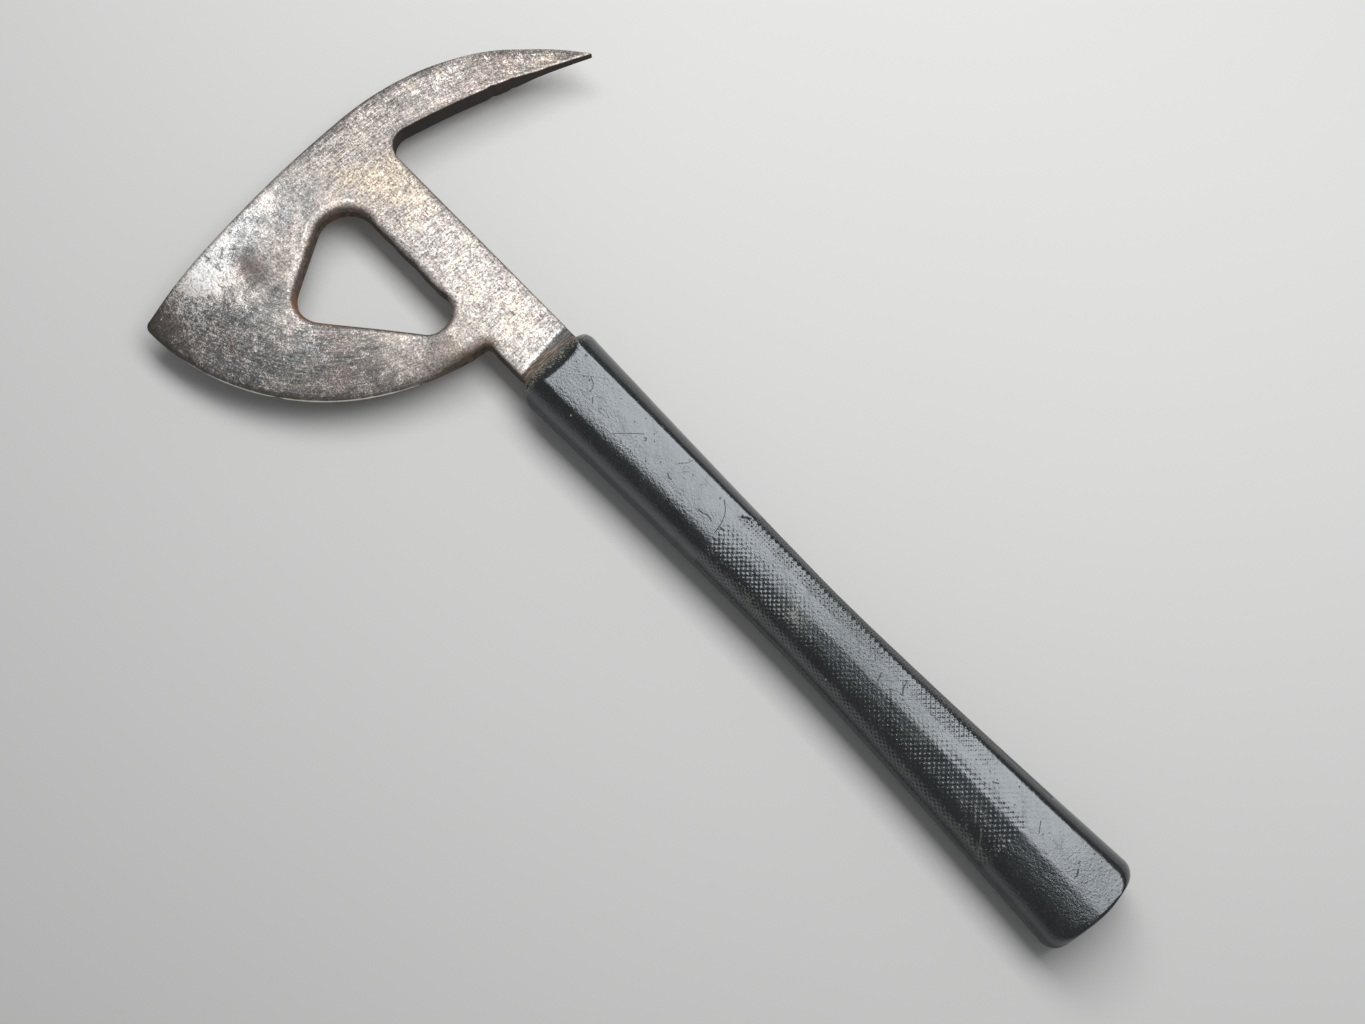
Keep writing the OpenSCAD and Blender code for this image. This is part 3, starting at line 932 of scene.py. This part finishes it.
def along_grip(x, mouth, waist, butt):
    """Value at a place along the grip: the waist's, flaring to the mouth's and to the butt's."""
    if x < WAIST_X:
        return waist + (mouth - waist) * ((WAIST_X - max(x, LIP_L)) / (WAIST_X - LIP_L)) ** FLARE
    return waist + (butt - waist) * ((min(x, corner_x) - WAIST_X) / (corner_x - WAIST_X)) ** FLARE


def profile(x, curve):
    """Value of a curve, given as places and values there, at a place along the grip."""
    return float(np.interp(x, *curve))


def butt_half_w(x):
    """Half width of the butt past the start of its corner arcs."""
    if x < touch_x:
        return corner_y + math.sqrt(BUTT_ROUND ** 2 - (x - corner_x) ** 2)
    return max(BOW_FLAT, math.sqrt(max(0.0, BUTT_BOW_R ** 2 - (x - bow_x) ** 2)))


def draw_left(distance, length, turn):
    """Share of a rounding's draw that is left at a distance in from the end, on an arc through an angle."""
    if distance >= length:
        return 0.0
    reached = 1 - distance / length * (1 - math.cos(turn))
    return 1 - math.sin(math.acos(reached)) / math.sin(turn)


def round_off(ring, width):
    """Evens out a closed ring of points over a width counted in points."""
    window = np.arange(-16, 17)
    weights = np.exp(-0.5 * (window / max(width, 0.3)) ** 2)
    weights /= weights.sum()
    return sum(w * np.roll(ring, k, axis=0) for k, w in zip(window, weights))


def grip_section(x, count):
    """One cross-section of the grip as points (y, z) at even distances, from the middle of the underside
    by the pick's side and the top. Each flat side is crowned, with its crest where the light breaks."""
    mouth = draw_left(x, LIP_L, LIP_TURN)
    edge = draw_left(GRIP_L - x, BUTT_EDGE, math.pi / 2)
    full = along_grip(x, GRIP_NECK_W, GRIP_WAIST_W, GRIP_BUTT_W) / 2
    a = butt_half_w(x) if x > corner_x else full - LIP_DRAW_Y * mouth
    b = GRIP_T / 2 - LIP_DRAW_Z * mouth - BUTT_EDGE * edge
    flat = along_grip(x, FLAT_MOUTH_W, FLAT_WAIST_W, FLAT_BUTT_W) / 2 * a / full
    narrow = a / full if x > corner_x else 1.0
    crest = narrow * profile(x, CREST)
    s0 = math.sin(FLANK_START)
    turn = np.linspace(FLANK_START, math.pi / 2, FLANK_SAMPLES)
    sweep = np.linspace(0, 1, FLAT_SAMPLES)[:-1]

    def quarter(side, crown, power=2.0):
        """From the crest out to the widest point, on one side."""
        middle = crest * side
        span = flat + abs(crest)
        drop = crown * (1 - mouth) * narrow
        y = middle + (flat - middle) * sweep
        z = b - drop * (np.abs(y - middle) / span) ** power
        start = b - drop * ((flat - middle) / span) ** power
        y = np.concatenate([y, flat + (a - flat) * (np.sin(turn) - s0) / (1 - s0)])
        z = np.concatenate([z, start * np.cos(turn) / math.cos(FLANK_START)])
        return np.column_stack([side * y, z])

    top_pick = quarter(1, profile(x, PICK_CROWN))
    top_blade = quarter(-1, profile(x, BLADE_CROWN), profile(x, BLADE_POWER))
    low_pick, low_blade = (quarter(side, UNDER_CROWN) * [1, -1] for side in (1, -1))
    ring = np.vstack([low_pick, top_pick[:-1][::-1], top_blade[1:], low_blade[:-1][::-1]])
    ring = ring[:-1] if np.allclose(ring[0], ring[-1]) else ring
    closed = np.vstack([ring, ring[:1]])
    steps = np.hypot(*np.diff(closed, axis=0).T)
    length = np.concatenate([[0], np.cumsum(steps)])
    places = np.arange(count) * length[-1] / count
    even = np.column_stack([np.interp(places, length, closed[:, i]) for i in range(2)])
    spacing = length[-1] / count
    crisp = round_off(even, profile(x, PICK_ROUNDING) / spacing)
    soft = round_off(even, profile(x, BLADE_ROUNDING) / spacing)
    share = rise(-even[:, 0], 0, 4)[:, None]
    return crisp + (soft - crisp) * share


def grip_stations():
    """Places of the rings along the grip, closer at the lip, in the chequering and at the butt, and the
    number of the chequering's first ring."""
    plain_step = 1.15
    lip_rows, corner_rows, bow_rows = 12, 12, 8
    lip = [LIP_L * (1 - math.cos(math.pi / 2 * i / lip_rows)) for i in range(lip_rows)]
    fore = list(np.arange(LIP_L, CHEQUER_START - 0.5, plain_step))
    fine = CHEQUER_PITCH / FINE
    rows = int((CHEQUER_END - CHEQUER_START) / fine)
    chequer = [CHEQUER_START + fine * i for i in range(rows + 1)]
    aft = list(np.arange(chequer[-1] + 1.0, corner_x - 0.3, plain_step))
    turn = math.asin((touch_x - corner_x) / BUTT_ROUND)
    corner = [corner_x + BUTT_ROUND * math.sin(turn * i / corner_rows) for i in range(corner_rows + 1)]
    bow_ys = [touch_y * (1 - i / bow_rows) for i in range(1, bow_rows + 1)]
    bow = [bow_x + math.sqrt(BUTT_BOW_R ** 2 - y ** 2) for y in bow_ys]
    return np.array(lip + fore + chequer + aft + corner + bow), len(lip) + len(fore)


def chequer_wear(x, y, z):
    """How much of the chequering is left: all of it on the flanks, and rows by the pick's side of the top,
    where the hand has worn the middle nearly smooth."""
    top = rise(z, 9.5, 12.0)
    fore = fall(x, 124, 136)
    aft = rise(x, 184, 200)
    rows = rise(y, 4.6, 6.8) * fall(x, 200, 222)
    upper = rise(-y, -2.2, 0.5)
    lower = rise(-y, 2.0, 7.0)
    kept = 0.12 + 0.72 * rows + 0.25 * aft * peak(y - 1.2, 1.2)
    kept = kept + fore * (0.33 * upper + 0.42 * lower)
    kept = kept + aft * (0.26 * upper + 0.30 * lower) * (1 - 0.4 * peak(x - 220, 9))
    kept = kept + (1 - fore) * (1 - aft) * (0.08 * upper + 0.4 * rise(-y, 5.0, 8.0))
    return (1 + (kept - 1) * top) * rise(np.abs(z), 3.6, 4.4)


def chequering(p, along, around):
    """How deep the chequering's grooves are, from 0 to 1, at places on the grip. The grooves run on the
    two diagonals of the samples that are counted along and around it."""
    x, y, z = p.T
    cuts = [np.abs(((along + side * around) / FINE + 0.5) % 1 - 0.5) for side in (1, -1)]
    pattern = 0.7 * (1 - np.minimum(*cuts) / 0.5) + 0.3 * (1 - np.maximum(*cuts) / 0.5)
    starts = CHEQUER_START + 1.4 * np.clip(y - 6.5, 0, 4) * rise(z, 6, 10)
    fade = rise(x, starts, starts + 1.2) * fall(x, CHEQUER_END - 2, CHEQUER_END)
    patchy = np.clip(0.95 + 0.4 * fractal(p, 10, 2) + 0.15 * noise(p, 2.5, 12), 0.1, 1.1)
    left = chequer_wear(x, y, z) * patchy
    return fade * np.clip(pattern - (1 - left), 0, 1)


def grip_skin():
    """The grip's outer skin from the mouth to the butt's rim: rings of points, and the grooves' depth."""
    count = DIAMONDS * FINE
    stations, first = grip_stations()
    sections = np.array([grip_section(x, count) for x in stations])
    along = np.roll(sections, -1, axis=1) - np.roll(sections, 1, axis=1)
    outward = np.stack([along[..., 1], -along[..., 0]], axis=2)
    outward /= np.hypot(outward[..., 0], outward[..., 1])[..., None]
    p = np.column_stack([np.repeat(stations, count), sections.reshape(-1, 2)])
    around = np.tile(np.arange(count), len(stations))
    groove = chequering(p, np.repeat(np.arange(len(stations)) - first, count), around)

    x = p[:, 0]
    border = peak(x - CHEQUER_START + 0.3, 0.5) * rise(-p[:, 1], -1, 3) * 0.5
    uneven = 0.05 + 0.05 * fractal(p, 14, 5) + 0.02 * noise(p, 3, 9)
    shaped = rise(x, 0, 3) * rise(GRIP_L - x, 0, 6)
    sunk = GROOVE * (groove + border) + shaped * np.clip(uneven, 0, None)
    p[:, 1:] -= outward.reshape(-1, 2) * sunk[:, None]
    crease = LIP_BULGE - LIP_FALL * np.clip(np.abs(p[:, 1] + 2) / 12, 0, 1.1) ** 3
    crease *= rise(x, 0, LIP_L) * fall(x, LIP_L, 26) * rise(p[:, 2], 0, 8)
    p[:, 0] = x + crease
    shape = (len(stations), count)
    return p.reshape(*shape, 3), groove.reshape(shape)


def butt_end(rim):
    """Rings from the butt's rim in towards the middle of its end, which is very slightly uneven."""
    rings = []
    for row in range(1, CAP_ROWS):
        share = 1 - row / CAP_ROWS
        ring = rim * [0, share, share] + [GRIP_L, 0, 0]
        ring[:, 0] = GRIP_L - BUTT_DISH * (1 + noise(ring, 4, 6))
        rings.append(ring)
    return np.array(rings)


def skin_faces(grid, depth):
    """Triangles between rings of points, each quad split along its deeper diagonal."""
    a, b = grid[:-1], np.roll(grid[:-1], -1, axis=1)
    d, c = grid[1:], np.roll(grid[1:], -1, axis=1)
    straight = depth[:-1] + np.roll(depth[1:], -1, axis=1)
    crossed = np.roll(depth[:-1], -1, axis=1) + depth[1:]
    one = (straight >= crossed)[..., None]
    return np.vstack([
        np.where(one, np.stack([a, b, c], 2), np.stack([a, b, d], 2)).reshape(-1, 3),
        np.where(one, np.stack([a, c, d], 2), np.stack([b, c, d], 2)).reshape(-1, 3)])


def socket():
    """The inside of the grip, facing in: room for the neck and the tang, with the rubber keys standing
    through it. Also the socket's mouth as points (y, z), anticlockwise seen from the butt."""
    half, tang, deep = SHANK_W / 2 + CLEARANCE, TANG_W / 2 + CLEARANCE, TANG_T / 2 + CLEARANCE
    end = TANG_END + CLEARANCE
    chamfer_x, chamfer_y = end - TANG_CHAMFER, tang - TANG_CHAMFER
    outline = np.vstack([
        rail((0, -half), (NECK_IN, -half), (NECK_IN, -tang), (chamfer_x, -tang), (end, -chamfer_y),
             (end, chamfer_y), (chamfer_x, tang), (NECK_IN, tang), (NECK_IN, half), (0, half)),
        line((0, half), (0, -half), 2 * half)])
    keys = [key_hole(x, KEY_D / 2 - CLEARANCE) for x in KEY_PLACES]
    loops = [outline] + keys
    triangles, points = fill(loops)
    level = np.full(len(points), deep)
    vertices, faces, _ = slab(triangles, points, [len(loop) for loop in loops], level, -level)
    open_end = (np.abs(vertices[faces][..., 0]) < 1e-6).all(1)
    mouth = np.array([(-half, -deep), (half, -deep), (half, deep), (-half, deep)])
    return vertices, faces[~open_end][:, ::-1], mouth


def rubbed(p):
    """Where handling has polished the rubber."""
    worn = dabs(np.full(len(p), 0.4), p,
        (1.0, (28, 3), (26, 7), 1.0),
        (0.9, (250, 5), (22, 7), 0.8),
        (-1.0, (158, 3), (30, 9), 0.9))
    on_top = rise(p[:, 2], 8, 12)
    return worn * on_top + 0.3 * (1 - on_top)


def coarse_skin(p):
    """How much coarser the rubber's skin is than on its smooth top: on the lip and towards the blade."""
    coarse = 1.6 * rise(-p[:, 1], 2.5, 7)
    coarse = dabs(coarse, p,
        (2.4, (156, 3), (34, 8), 1.0),
        (1.2, (108, 4), (14, 7), 1.0),
        (0.7, (14, 4), (10, 8), 1.0),
        (0.6, (264, 3), (12, 12), 1.0))
    return np.maximum(coarse, LIP_COARSE * fall(p[:, 0], 4.5, 8.5))


def matt_and_shaded_side(p):
    """Where the side that faces the blade has gone dull, and where it is painted darker as shade."""
    return rise(-np.abs(p[:, 2]), -9, -4) * rise(-p[:, 1], 8, 11)


def dusty(p):
    """Where dust and dried mud stain the rubber."""
    dust = dabs(np.full(len(p), 0.10), p,
        (1.0, (132, -4), (5, 3), 1.0),
        (0.9, (138, -1.5), (9, 2.0), 0.9),
        (0.8, (136, 3), (3, 2), 0.8),
        (0.35, (228, -13), (18, 4), 0.8),
        (0.4, (112, -12), (16, 3), 0.8),
        (0.4, (62, -7), (14, 4), 0.6),
        (0.5, (200, -2), (22, 3), 0.6))
    return np.maximum(dust, fall(p[:, 0], 3.5, 7.5))


def build_grip(material):
    """The rubber grip: a flat-sided, waisted handle with a lip, moulded chequering and a blind socket
    that fits over the neck and the tang."""
    skin, groove = grip_skin()
    end = butt_end(skin[-1])
    rings = np.concatenate([skin, end])
    depth = np.concatenate([groove, np.zeros(end.shape[:2])])
    grid = np.arange(depth.size).reshape(depth.shape)
    last = grid[-1]
    fan = np.column_stack([last, np.roll(last, -1), np.full(len(last), grid.size)])
    centre = [GRIP_L - BUTT_DISH, 0.0, 0.0]

    socket_points, socket_faces, mouth = socket()
    mouth_faces, mouth_points = fill([skin[0, :, 1:], mouth[::-1]])
    mouth_ring = np.column_stack([np.zeros(len(mouth_points)), mouth_points])
    made = grid.size + 1
    vertices = np.vstack([rings.reshape(-1, 3), centre, mouth_ring, socket_points])
    faces = np.vstack([
        skin_faces(grid, depth), fan, mouth_faces[:, ::-1] + made, socket_faces + made + len(mouth_ring)])

    at = skin.reshape(-1, 3)
    marks = {
        "groove": groove.ravel(), "rubbed": rubbed(at), "dust": dusty(at), "flank": matt_and_shaded_side(at),
        "coarse": coarse_skin(at)}
    for name, values in marks.items():
        elsewhere = LIP_COARSE if name == "coarse" else 0.0
        marks[name] = np.concatenate([values, np.full(len(vertices) - len(at), elsewhere)])
    return make_piece("moulded_rubber", vertices, faces, marks, material, 50)


def steel_fields(s):
    """The noises that the steel's looks share, from the widest to the finest, and its brush lines."""
    across = s.noise(0.42, 3, 0.65, (1, 18, 1), at=2.2)
    lengthwise = s.noise(0.38, 3, 0.65, (24, 1, 1), at=6.6)
    return SimpleNamespace(
        cloud=s.noise(14, 4, 0.55, at=3.1),
        blotch=s.noise(7, 3, 0.55, at=7.7),
        mottle=s.noise(3.2, 5, 0.62, at=8.2),
        speckle=s.noise(1.3, 3, 0.6, at=1.7),
        grit=s.noise(0.78, 2, 0.6, at=9.4),
        grain=s.noise(0.5, 2, 0.7, at=5.5),
        across=across,
        brushed=across * 0.66 + lengthwise * 0.34,
        arcs=s.streaks(s.mark("arc"), s.mark("deep"), 11, 0.5, 3.7))


def steel_level(s, f):
    """How bright the steel is, from 0 to 1, with painted shade by its edges and a painted highlight by the
    neck. Also its white haze, its bare patches and its pits.
    """
    brush, ground = s.mark("brush"), s.mark("ground")
    plain = 1 - brush * 0.45
    change = swing(f.cloud, 0.6) + swing(f.mottle, 0.6)
    change = change + swing(f.blotch, 1.5) * (1.15 - brush)
    change = change + (swing(f.speckle, 0.8) + swing(f.grain, 2.2)) * plain
    change = change + swing(f.brushed, 3.5) * brush
    change = change + swing(f.arcs, 2.0) * ground
    level = s.mark("tone") * (change + 1)

    cover = s.mark("white") + (swing(f.blotch, 1.1) + swing(f.mottle, 1.5))
    fine = swing(f.speckle, 1.5) + swing(f.grain, 3.0) + swing(f.arcs, 1.0) * ground
    haze = s.window(cover + fine, 0.20, 0.92)
    level = s.between(haze * 0.92, level, 0.78)
    patch = s.window(cover + fine * 0.45, 0.62, 0.86)
    level = s.between(patch * 0.85, level, 0.93)
    pits = s.window(swing(f.speckle, 0.8) + swing(f.mottle, 0.8), -0.10, -0.24) * plain
    level = level * s.between(pits, 1.0, 0.66)

    scratches = s.highest(
        s.hairline(s.noise(2.6, 1, 0.4, (1, 14, 1), 0.35, 0.3, 4.4), 0.5, 0.010),
        s.hairline(s.noise(3.1, 1, 0.4, (16, 1, 1), 0.2, 0.3, 7.4), 0.47, 0.009))
    level = level + scratches * 0.10
    # Painted shade: darker within a few mm of the edges.
    edge_shade = s.window(s.mark("edge") + swing(f.mottle, 1.0), 0.15, 0.95)
    level = level * s.between(edge_shade, 1.0, 0.60)
    # Painted shade: darker along the cutting edge, where the cheeks curve down.
    cut_shade = s.window(s.mark("cut") + swing(f.mottle, 6.0), 6.0, 0.8)
    level = level * s.between(cut_shade, 1.0, 0.62)
    # Bright lines, with a painted highlight round the end of the ground faces.
    level = level + s.mark("burr_and_highlight") * (swing(f.mottle, 0.9) + 0.28)
    crisp = s.highest(s.mark("crisp"), haze) * 2.3 + 0.7
    level = s.math("MULTIPLY", level, swing(f.grit, crisp) + 1, clamp=True)
    return level, haze, patch, pits


def steel_colour(s, f, level, haze, rusted_and_seam_shaded):
    """The steel's colour at its level of brightness: cast, plum and brown patina, the neck with a painted
    reflection, painted shade on the bevel, walls, and rust with painted shade at the seam.
    """
    warm, rim, wall = s.mark("warm"), s.mark("rim"), s.mark("wall")
    cast = warm + (swing(f.cloud, 0.8) + swing(f.blotch, 0.9))
    bright = s.blend(s.window(cast, 0.0, 0.5), (0.87, 0.87, 0.86), (0.89, 0.81, 0.755))
    bright = s.blend(s.window(cast, 0.5, 1.0), bright, (0.93, 0.80, 0.645))
    colour = s.blend(level, (0.016, 0.0125, 0.0105), bright)
    plum = s.window(s.mark("plum") + (swing(f.blotch, 1.4) + swing(f.mottle, 0.8)), 0.35, 1.0)
    plum = plum * (1 - s.highest(haze, s.mark("brush")))
    colour = s.blend(plum * 0.75, colour, s.blend(level, (0.018, 0.012, 0.011), (0.62, 0.47, 0.45)))
    brown = s.blend(level, (0.020, 0.011, 0.007), (0.60, 0.47, 0.37))
    brown_rim = s.window(rim + swing(f.mottle, 0.7), 0.25, 0.9)
    colour = s.blend(brown_rim * 0.75, colour, brown)
    colour = s.blend(brown_rim * 0.35, colour, (0.10, 0.072, 0.055))
    # The neck is brown, and blue-grey where the cast is neutral: a painted reflection of the sky.
    neck = s.blend(s.window(warm, 0.2, 0.45), (0.115, 0.135, 0.150), (0.175, 0.130, 0.085))
    neck = s.blend(s.window(f.across, 0.62, 0.44), neck, (0.042, 0.028, 0.018))
    neck = s.blend(s.window(f.across, 0.56, 0.72), neck, (0.33, 0.28, 0.22))
    colour = s.blend(s.mark("neck") * 0.9, colour, neck)

    # Painted shade: the narrow bevel along the cutting edge is darkened.
    colour = s.blend(s.mark("bevel") * 0.35, colour, (0.13, 0.11, 0.095))
    dark = s.blend(s.window(f.mottle, 0.3, 0.7), (0.030, 0.021, 0.015), (0.17, 0.120, 0.085))
    dark = s.blend(s.window(f.cloud, 0.5, 0.65), dark, (0.15, 0.085, 0.048))
    dark = s.blend(rim, (0.022, 0.017, 0.014), dark)
    colour = s.blend(wall, colour, dark)
    bare = s.window(s.mark("bare") + swing(f.mottle, 0.7), 0.2, 0.6)
    colour = s.blend(bare, colour, (0.62, 0.57, 0.51))
    return s.blend(rusted_and_seam_shaded * 0.75, colour, s.blend(f.speckle, (0.08, 0.030, 0.012), (0.30, 0.15, 0.07)))


def steel_material():
    """Old bare steel: brushed and speckled, bright where handled, with brown patina and painted shade at
    the edges.
    """
    s = Shader("worn_steel")
    f = steel_fields(s)
    level, haze, patch, pits = steel_level(s, f)
    rusted_and_seam_shaded = s.window(s.mark("rust_and_seam_shade") + swing(f.mottle, 1.2), 0.45, 1.0)
    dull = s.highest(rusted_and_seam_shaded, s.mark("wall"), s.mark("neck") * 0.6)
    rough = s.between(patch, s.between(level, 0.60, 0.42), 0.38) + swing(f.grain, 0.3)
    height = f.brushed * 0.6 + f.grain * 0.4 - pits * 0.5
    s.set(Base_Color=steel_colour(s, f, level, haze, rusted_and_seam_shaded), Metallic=s.between(dull, 0.60, 0.25))
    s.set(Roughness=s.between(dull, rough, 0.75), Normal=s.relief(f.mottle, 0.12, s.relief(height, 0.05)))
    s.set(IOR=1.5, Specular_IOR_Level=0.5)
    return s.material


def rubber_scratches(s, cloud, smudge):
    """Hairline scratches here and there on the rubber."""
    squiggle = s.hairline(s.noise(3.5, 2, 0.5, (1.6, 1, 1), 0.3, 1.6, 2.7), 0.5, 0.012)
    lines = s.highest(
        s.hairline(s.noise(7, 1, 0.3, (4, 1, 1), 0.9, 0.5, 3.3), 0.5, 0.004),
        s.hairline(s.noise(9, 1, 0.3, (5, 1, 1), -0.7, 0.5, 6.3), 0.52, 0.004),
        s.hairline(s.noise(8, 1, 0.3, (6, 1, 1), 0.15, 0.4, 8.3), 0.48, 0.003))
    return s.highest(lines * s.window(cloud, 0.54, 0.70), squiggle * s.window(smudge, 0.56, 0.72))


def rubber_scores(s):
    """The scores and small pits that the photograph shows in the rubber's top."""
    return s.highest(*(s.path(*width_and_places) for width_and_places in (
        (0.24, (80.4, -2.0), (82.6, -2.1), (84.2, -1.3), (86.0, -1.3), (87.2, -1.9)),
        (0.20, (84.4, 7.0), (86.8, 5.4), (88.6, 3.4), (89.6, 1.2), (90.4, -1.0), (90.9, -4.0)),
        (0.14, (38.8, -5.2), (42.0, -1.8), (47.0, 3.2)),
        (0.16, (17.8, 3.9), (20.4, 2.9), (21.6, 1.2), (21.7, -0.6)),
        (0.14, (66.2, 9.0), (65.6, 7.0), (63.4, 4.4)),
        (0.22, (24.0, -1.0), (25.8, -2.6)),
        (0.30, (63.4, -0.8), (64.8, -1.6), (66.1, -1.5)),
        (0.26, (167.0, 3.6), (168.4, 0.2)),
        (0.32, (175.2, 8.2), (176.2, 5.2), (177.9, 2.9)),
        (0.28, (173.2, 1.6), (175.6, -0.4)),
        (0.26, (220.0, 4.2), (222.0, 5.4)),
        (0.14, (240.5, 6.8), (243.2, 3.0)),
        (0.32, (259.2, 6.6), (259.5, 5.4)),
        (0.32, (260.6, 4.2), (261.9, 2.0), (261.6, 1.2)),
        (0.85, (48.1, 2.5), (49.0, 1.3)),
        (0.45, (42.8, -4.8), (43.7, -5.4)),
        (0.40, (47.9, -4.4), (48.3, -5.3)),
        (0.40, (15.6, 2.3), (16.1, 2.0)),
        (0.40, (18.2, 2.8), (18.6, 2.3)),
        (0.40, (10.2, 8.3), (11.2, 8.2)),
        (0.45, (89.4, 1.3), (89.7, 1.0)),
        (0.40, (82.9, 6.1), (83.3, 6.5)))))


def rubber_material():
    """Aged hard rubber: black, semi-gloss and smudged, with dust in its grooves and hairline scratches, a
    painted highlight streak and painted shade on its flank.
    """
    s = Shader("aged_rubber")
    groove, coarse, flank = s.mark("groove"), s.mark("coarse"), s.mark("flank")
    cloud = s.noise(16, 4, 0.6, at=1.3)
    smudge = s.noise(5, 5, 0.65, (2.2, 1, 1), 0.5, 0.6, 4.1)
    grain = s.noise(0.7, 3, 0.65, at=2.9)
    wrinkle = s.noise(1.8, 3, 0.6, (1, 1, 1), 0.0, 1.2, 5.9)
    pepper = s.noise(1.0, 2, 0.5, at=7.1)
    scratches, scores = rubber_scratches(s, cloud, smudge), rubber_scores(s)

    bloom = s.window(cloud * 0.6 + smudge * 0.4, 0.35, 0.7)
    base = s.blend(bloom, (0.003, 0.0035, 0.0035), (0.010, 0.0108, 0.0105))
    # Painted shade: the light grain is held back on the blade's flank, which darkens it.
    unshaded_share = 0.8 - flank * 0.7
    base = s.blend(s.window(grain, 0.48, 0.72) * unshaded_share, base, (0.034, 0.036, 0.035))
    dusting = s.mark("dust") + swing(smudge, 1.6) + swing(grain, coarse + 2.0) + (groove - 0.35) * 0.8
    dusting = s.window(dusting, 0.45, 1.3)
    base = s.blend(dusting * 0.75, base, (0.29, 0.27, 0.215))
    # Pale dust smears, and a painted highlight streak along the worn chequering's edge.
    smears_and_highlight = s.highest(
        s.path(0.5, (221, -5), (226, -10)), s.path(0.4, (228, -9), (234, -16)),
        s.path(0.3, (154, -2.1), (158, -2.2)))
    base = s.blend(smears_and_highlight * (grain * 0.5), base, (0.32, 0.285, 0.225))
    specks = s.highest(
        s.dots(7, 0.22, 0.30, 4.0), s.dots(14, 0.32, 0.35, 9.0),
        s.path(0.5, (23.2, -11.2), (23.5, -10.9)), s.path(0.45, (155.1, -11.8), (155.4, -11.5)))
    base = s.blend(specks * 0.8, base, (0.60, 0.58, 0.54))
    base = s.blend(scratches * 0.08, base, (0.12, 0.12, 0.115))

    rough = s.between(s.window(smudge, 0.3, 0.75), 0.19, 0.28) - s.mark("rubbed") * 0.06
    rough = rough + flank * 0.45 + groove * 0.08 + dusting * 0.25
    rough = s.math("ADD", rough, (scratches + scores) * 0.15, clamp=True)
    height = (grain + pepper * 1.3) * (coarse + 1.0)
    height = height - scratches * 0.7 - scores * 2.2 - s.dots(1.9, 0.30, 0.35, 2.0) * 2.4
    normal = s.relief(smudge + wrinkle * 0.4, 0.03, s.relief(height, 0.035))
    s.set(Base_Color=base, Roughness=rough, Normal=normal)
    s.set(IOR=1.5, Specular_IOR_Level=0.95, Specular_Tint=(0.91, 0.985, 1.04, 1.0))
    return s.material


def build_stage():
    """Plain pale floor under the axe."""
    mesh = bpy.data.meshes.new("floor")
    half = 6.0
    corners = [(-half, -half, 0), (half, -half, 0), (half, half, 0), (-half, half, 0)]
    mesh.from_pydata(corners, [], [(0, 1, 2, 3)])
    floor = bpy.data.objects.new("floor", mesh)
    bpy.context.scene.collection.objects.link(floor)
    s = Shader("pale_floor")
    tint = s.blend(s.noise(400, 2), (0.63, 0.63, 0.62), (0.67, 0.67, 0.66))
    s.set(Base_Color=tint, Roughness=0.85, Specular_IOR_Level=0.2)
    mesh.materials.append(s.material)


def build_light():
    """A wide overhead softbox on the pick's side, and an even, plain surrounding."""
    softbox_x = (-0.75, 0.25)
    softbox_y = (0.08, 0.48)
    softbox_z = 0.72
    radiance = 5.6
    width, depth = softbox_x[1] - softbox_x[0], softbox_y[1] - softbox_y[0]
    lamp = bpy.data.lights.new("softbox", "AREA")
    lamp.shape = "RECTANGLE"
    lamp.size = width
    lamp.size_y = depth
    lamp.energy = radiance * math.pi * width * depth
    softbox = bpy.data.objects.new("softbox", lamp)
    softbox.location = (sum(softbox_x) / 2, sum(softbox_y) / 2, softbox_z)
    bpy.context.scene.collection.objects.link(softbox)
    world = bpy.data.worlds.new("plain_studio")
    world.use_nodes = True
    background = world.node_tree.nodes["Background"]
    background.inputs[0].default_value = (0.97, 0.99, 1.0, 1)
    background.inputs[1].default_value = 0.24
    bpy.context.scene.world = world


def build_camera():
    """The photograph's view: from above the handle, 15 degrees off straight down."""
    from_mouth, aside, above = 0.2024, -0.1254, 0.67045
    right = Vector((0.68843, 0.72530, 0.0)).normalized()
    up = Vector((-0.70059, 0.66498, 0.25882)).normalized()
    back = right.cross(up)
    lens = bpy.data.cameras.new("camera")
    lens.lens = 49.32
    lens.sensor_width = 36.0
    lens.sensor_fit = "HORIZONTAL"
    lens.clip_start = 0.01
    camera = bpy.data.objects.new("camera", lens)
    place = (MOUTH[0] * MM + from_mouth, aside, above)
    camera.matrix_world = Matrix.Translation(place) @ Matrix((right, up, back)).transposed().to_4x4()
    bpy.context.scene.collection.objects.link(camera)
    bpy.context.scene.camera = camera


steel = build_steel(steel_material())
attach(steel, "root")
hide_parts("axe_forging")
grip = build_grip(rubber_material())
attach(grip, "root")
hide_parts("rubber_grip")
build_stage()
build_light()
build_camera()
bpy.context.scene.view_settings.view_transform = "Standard"
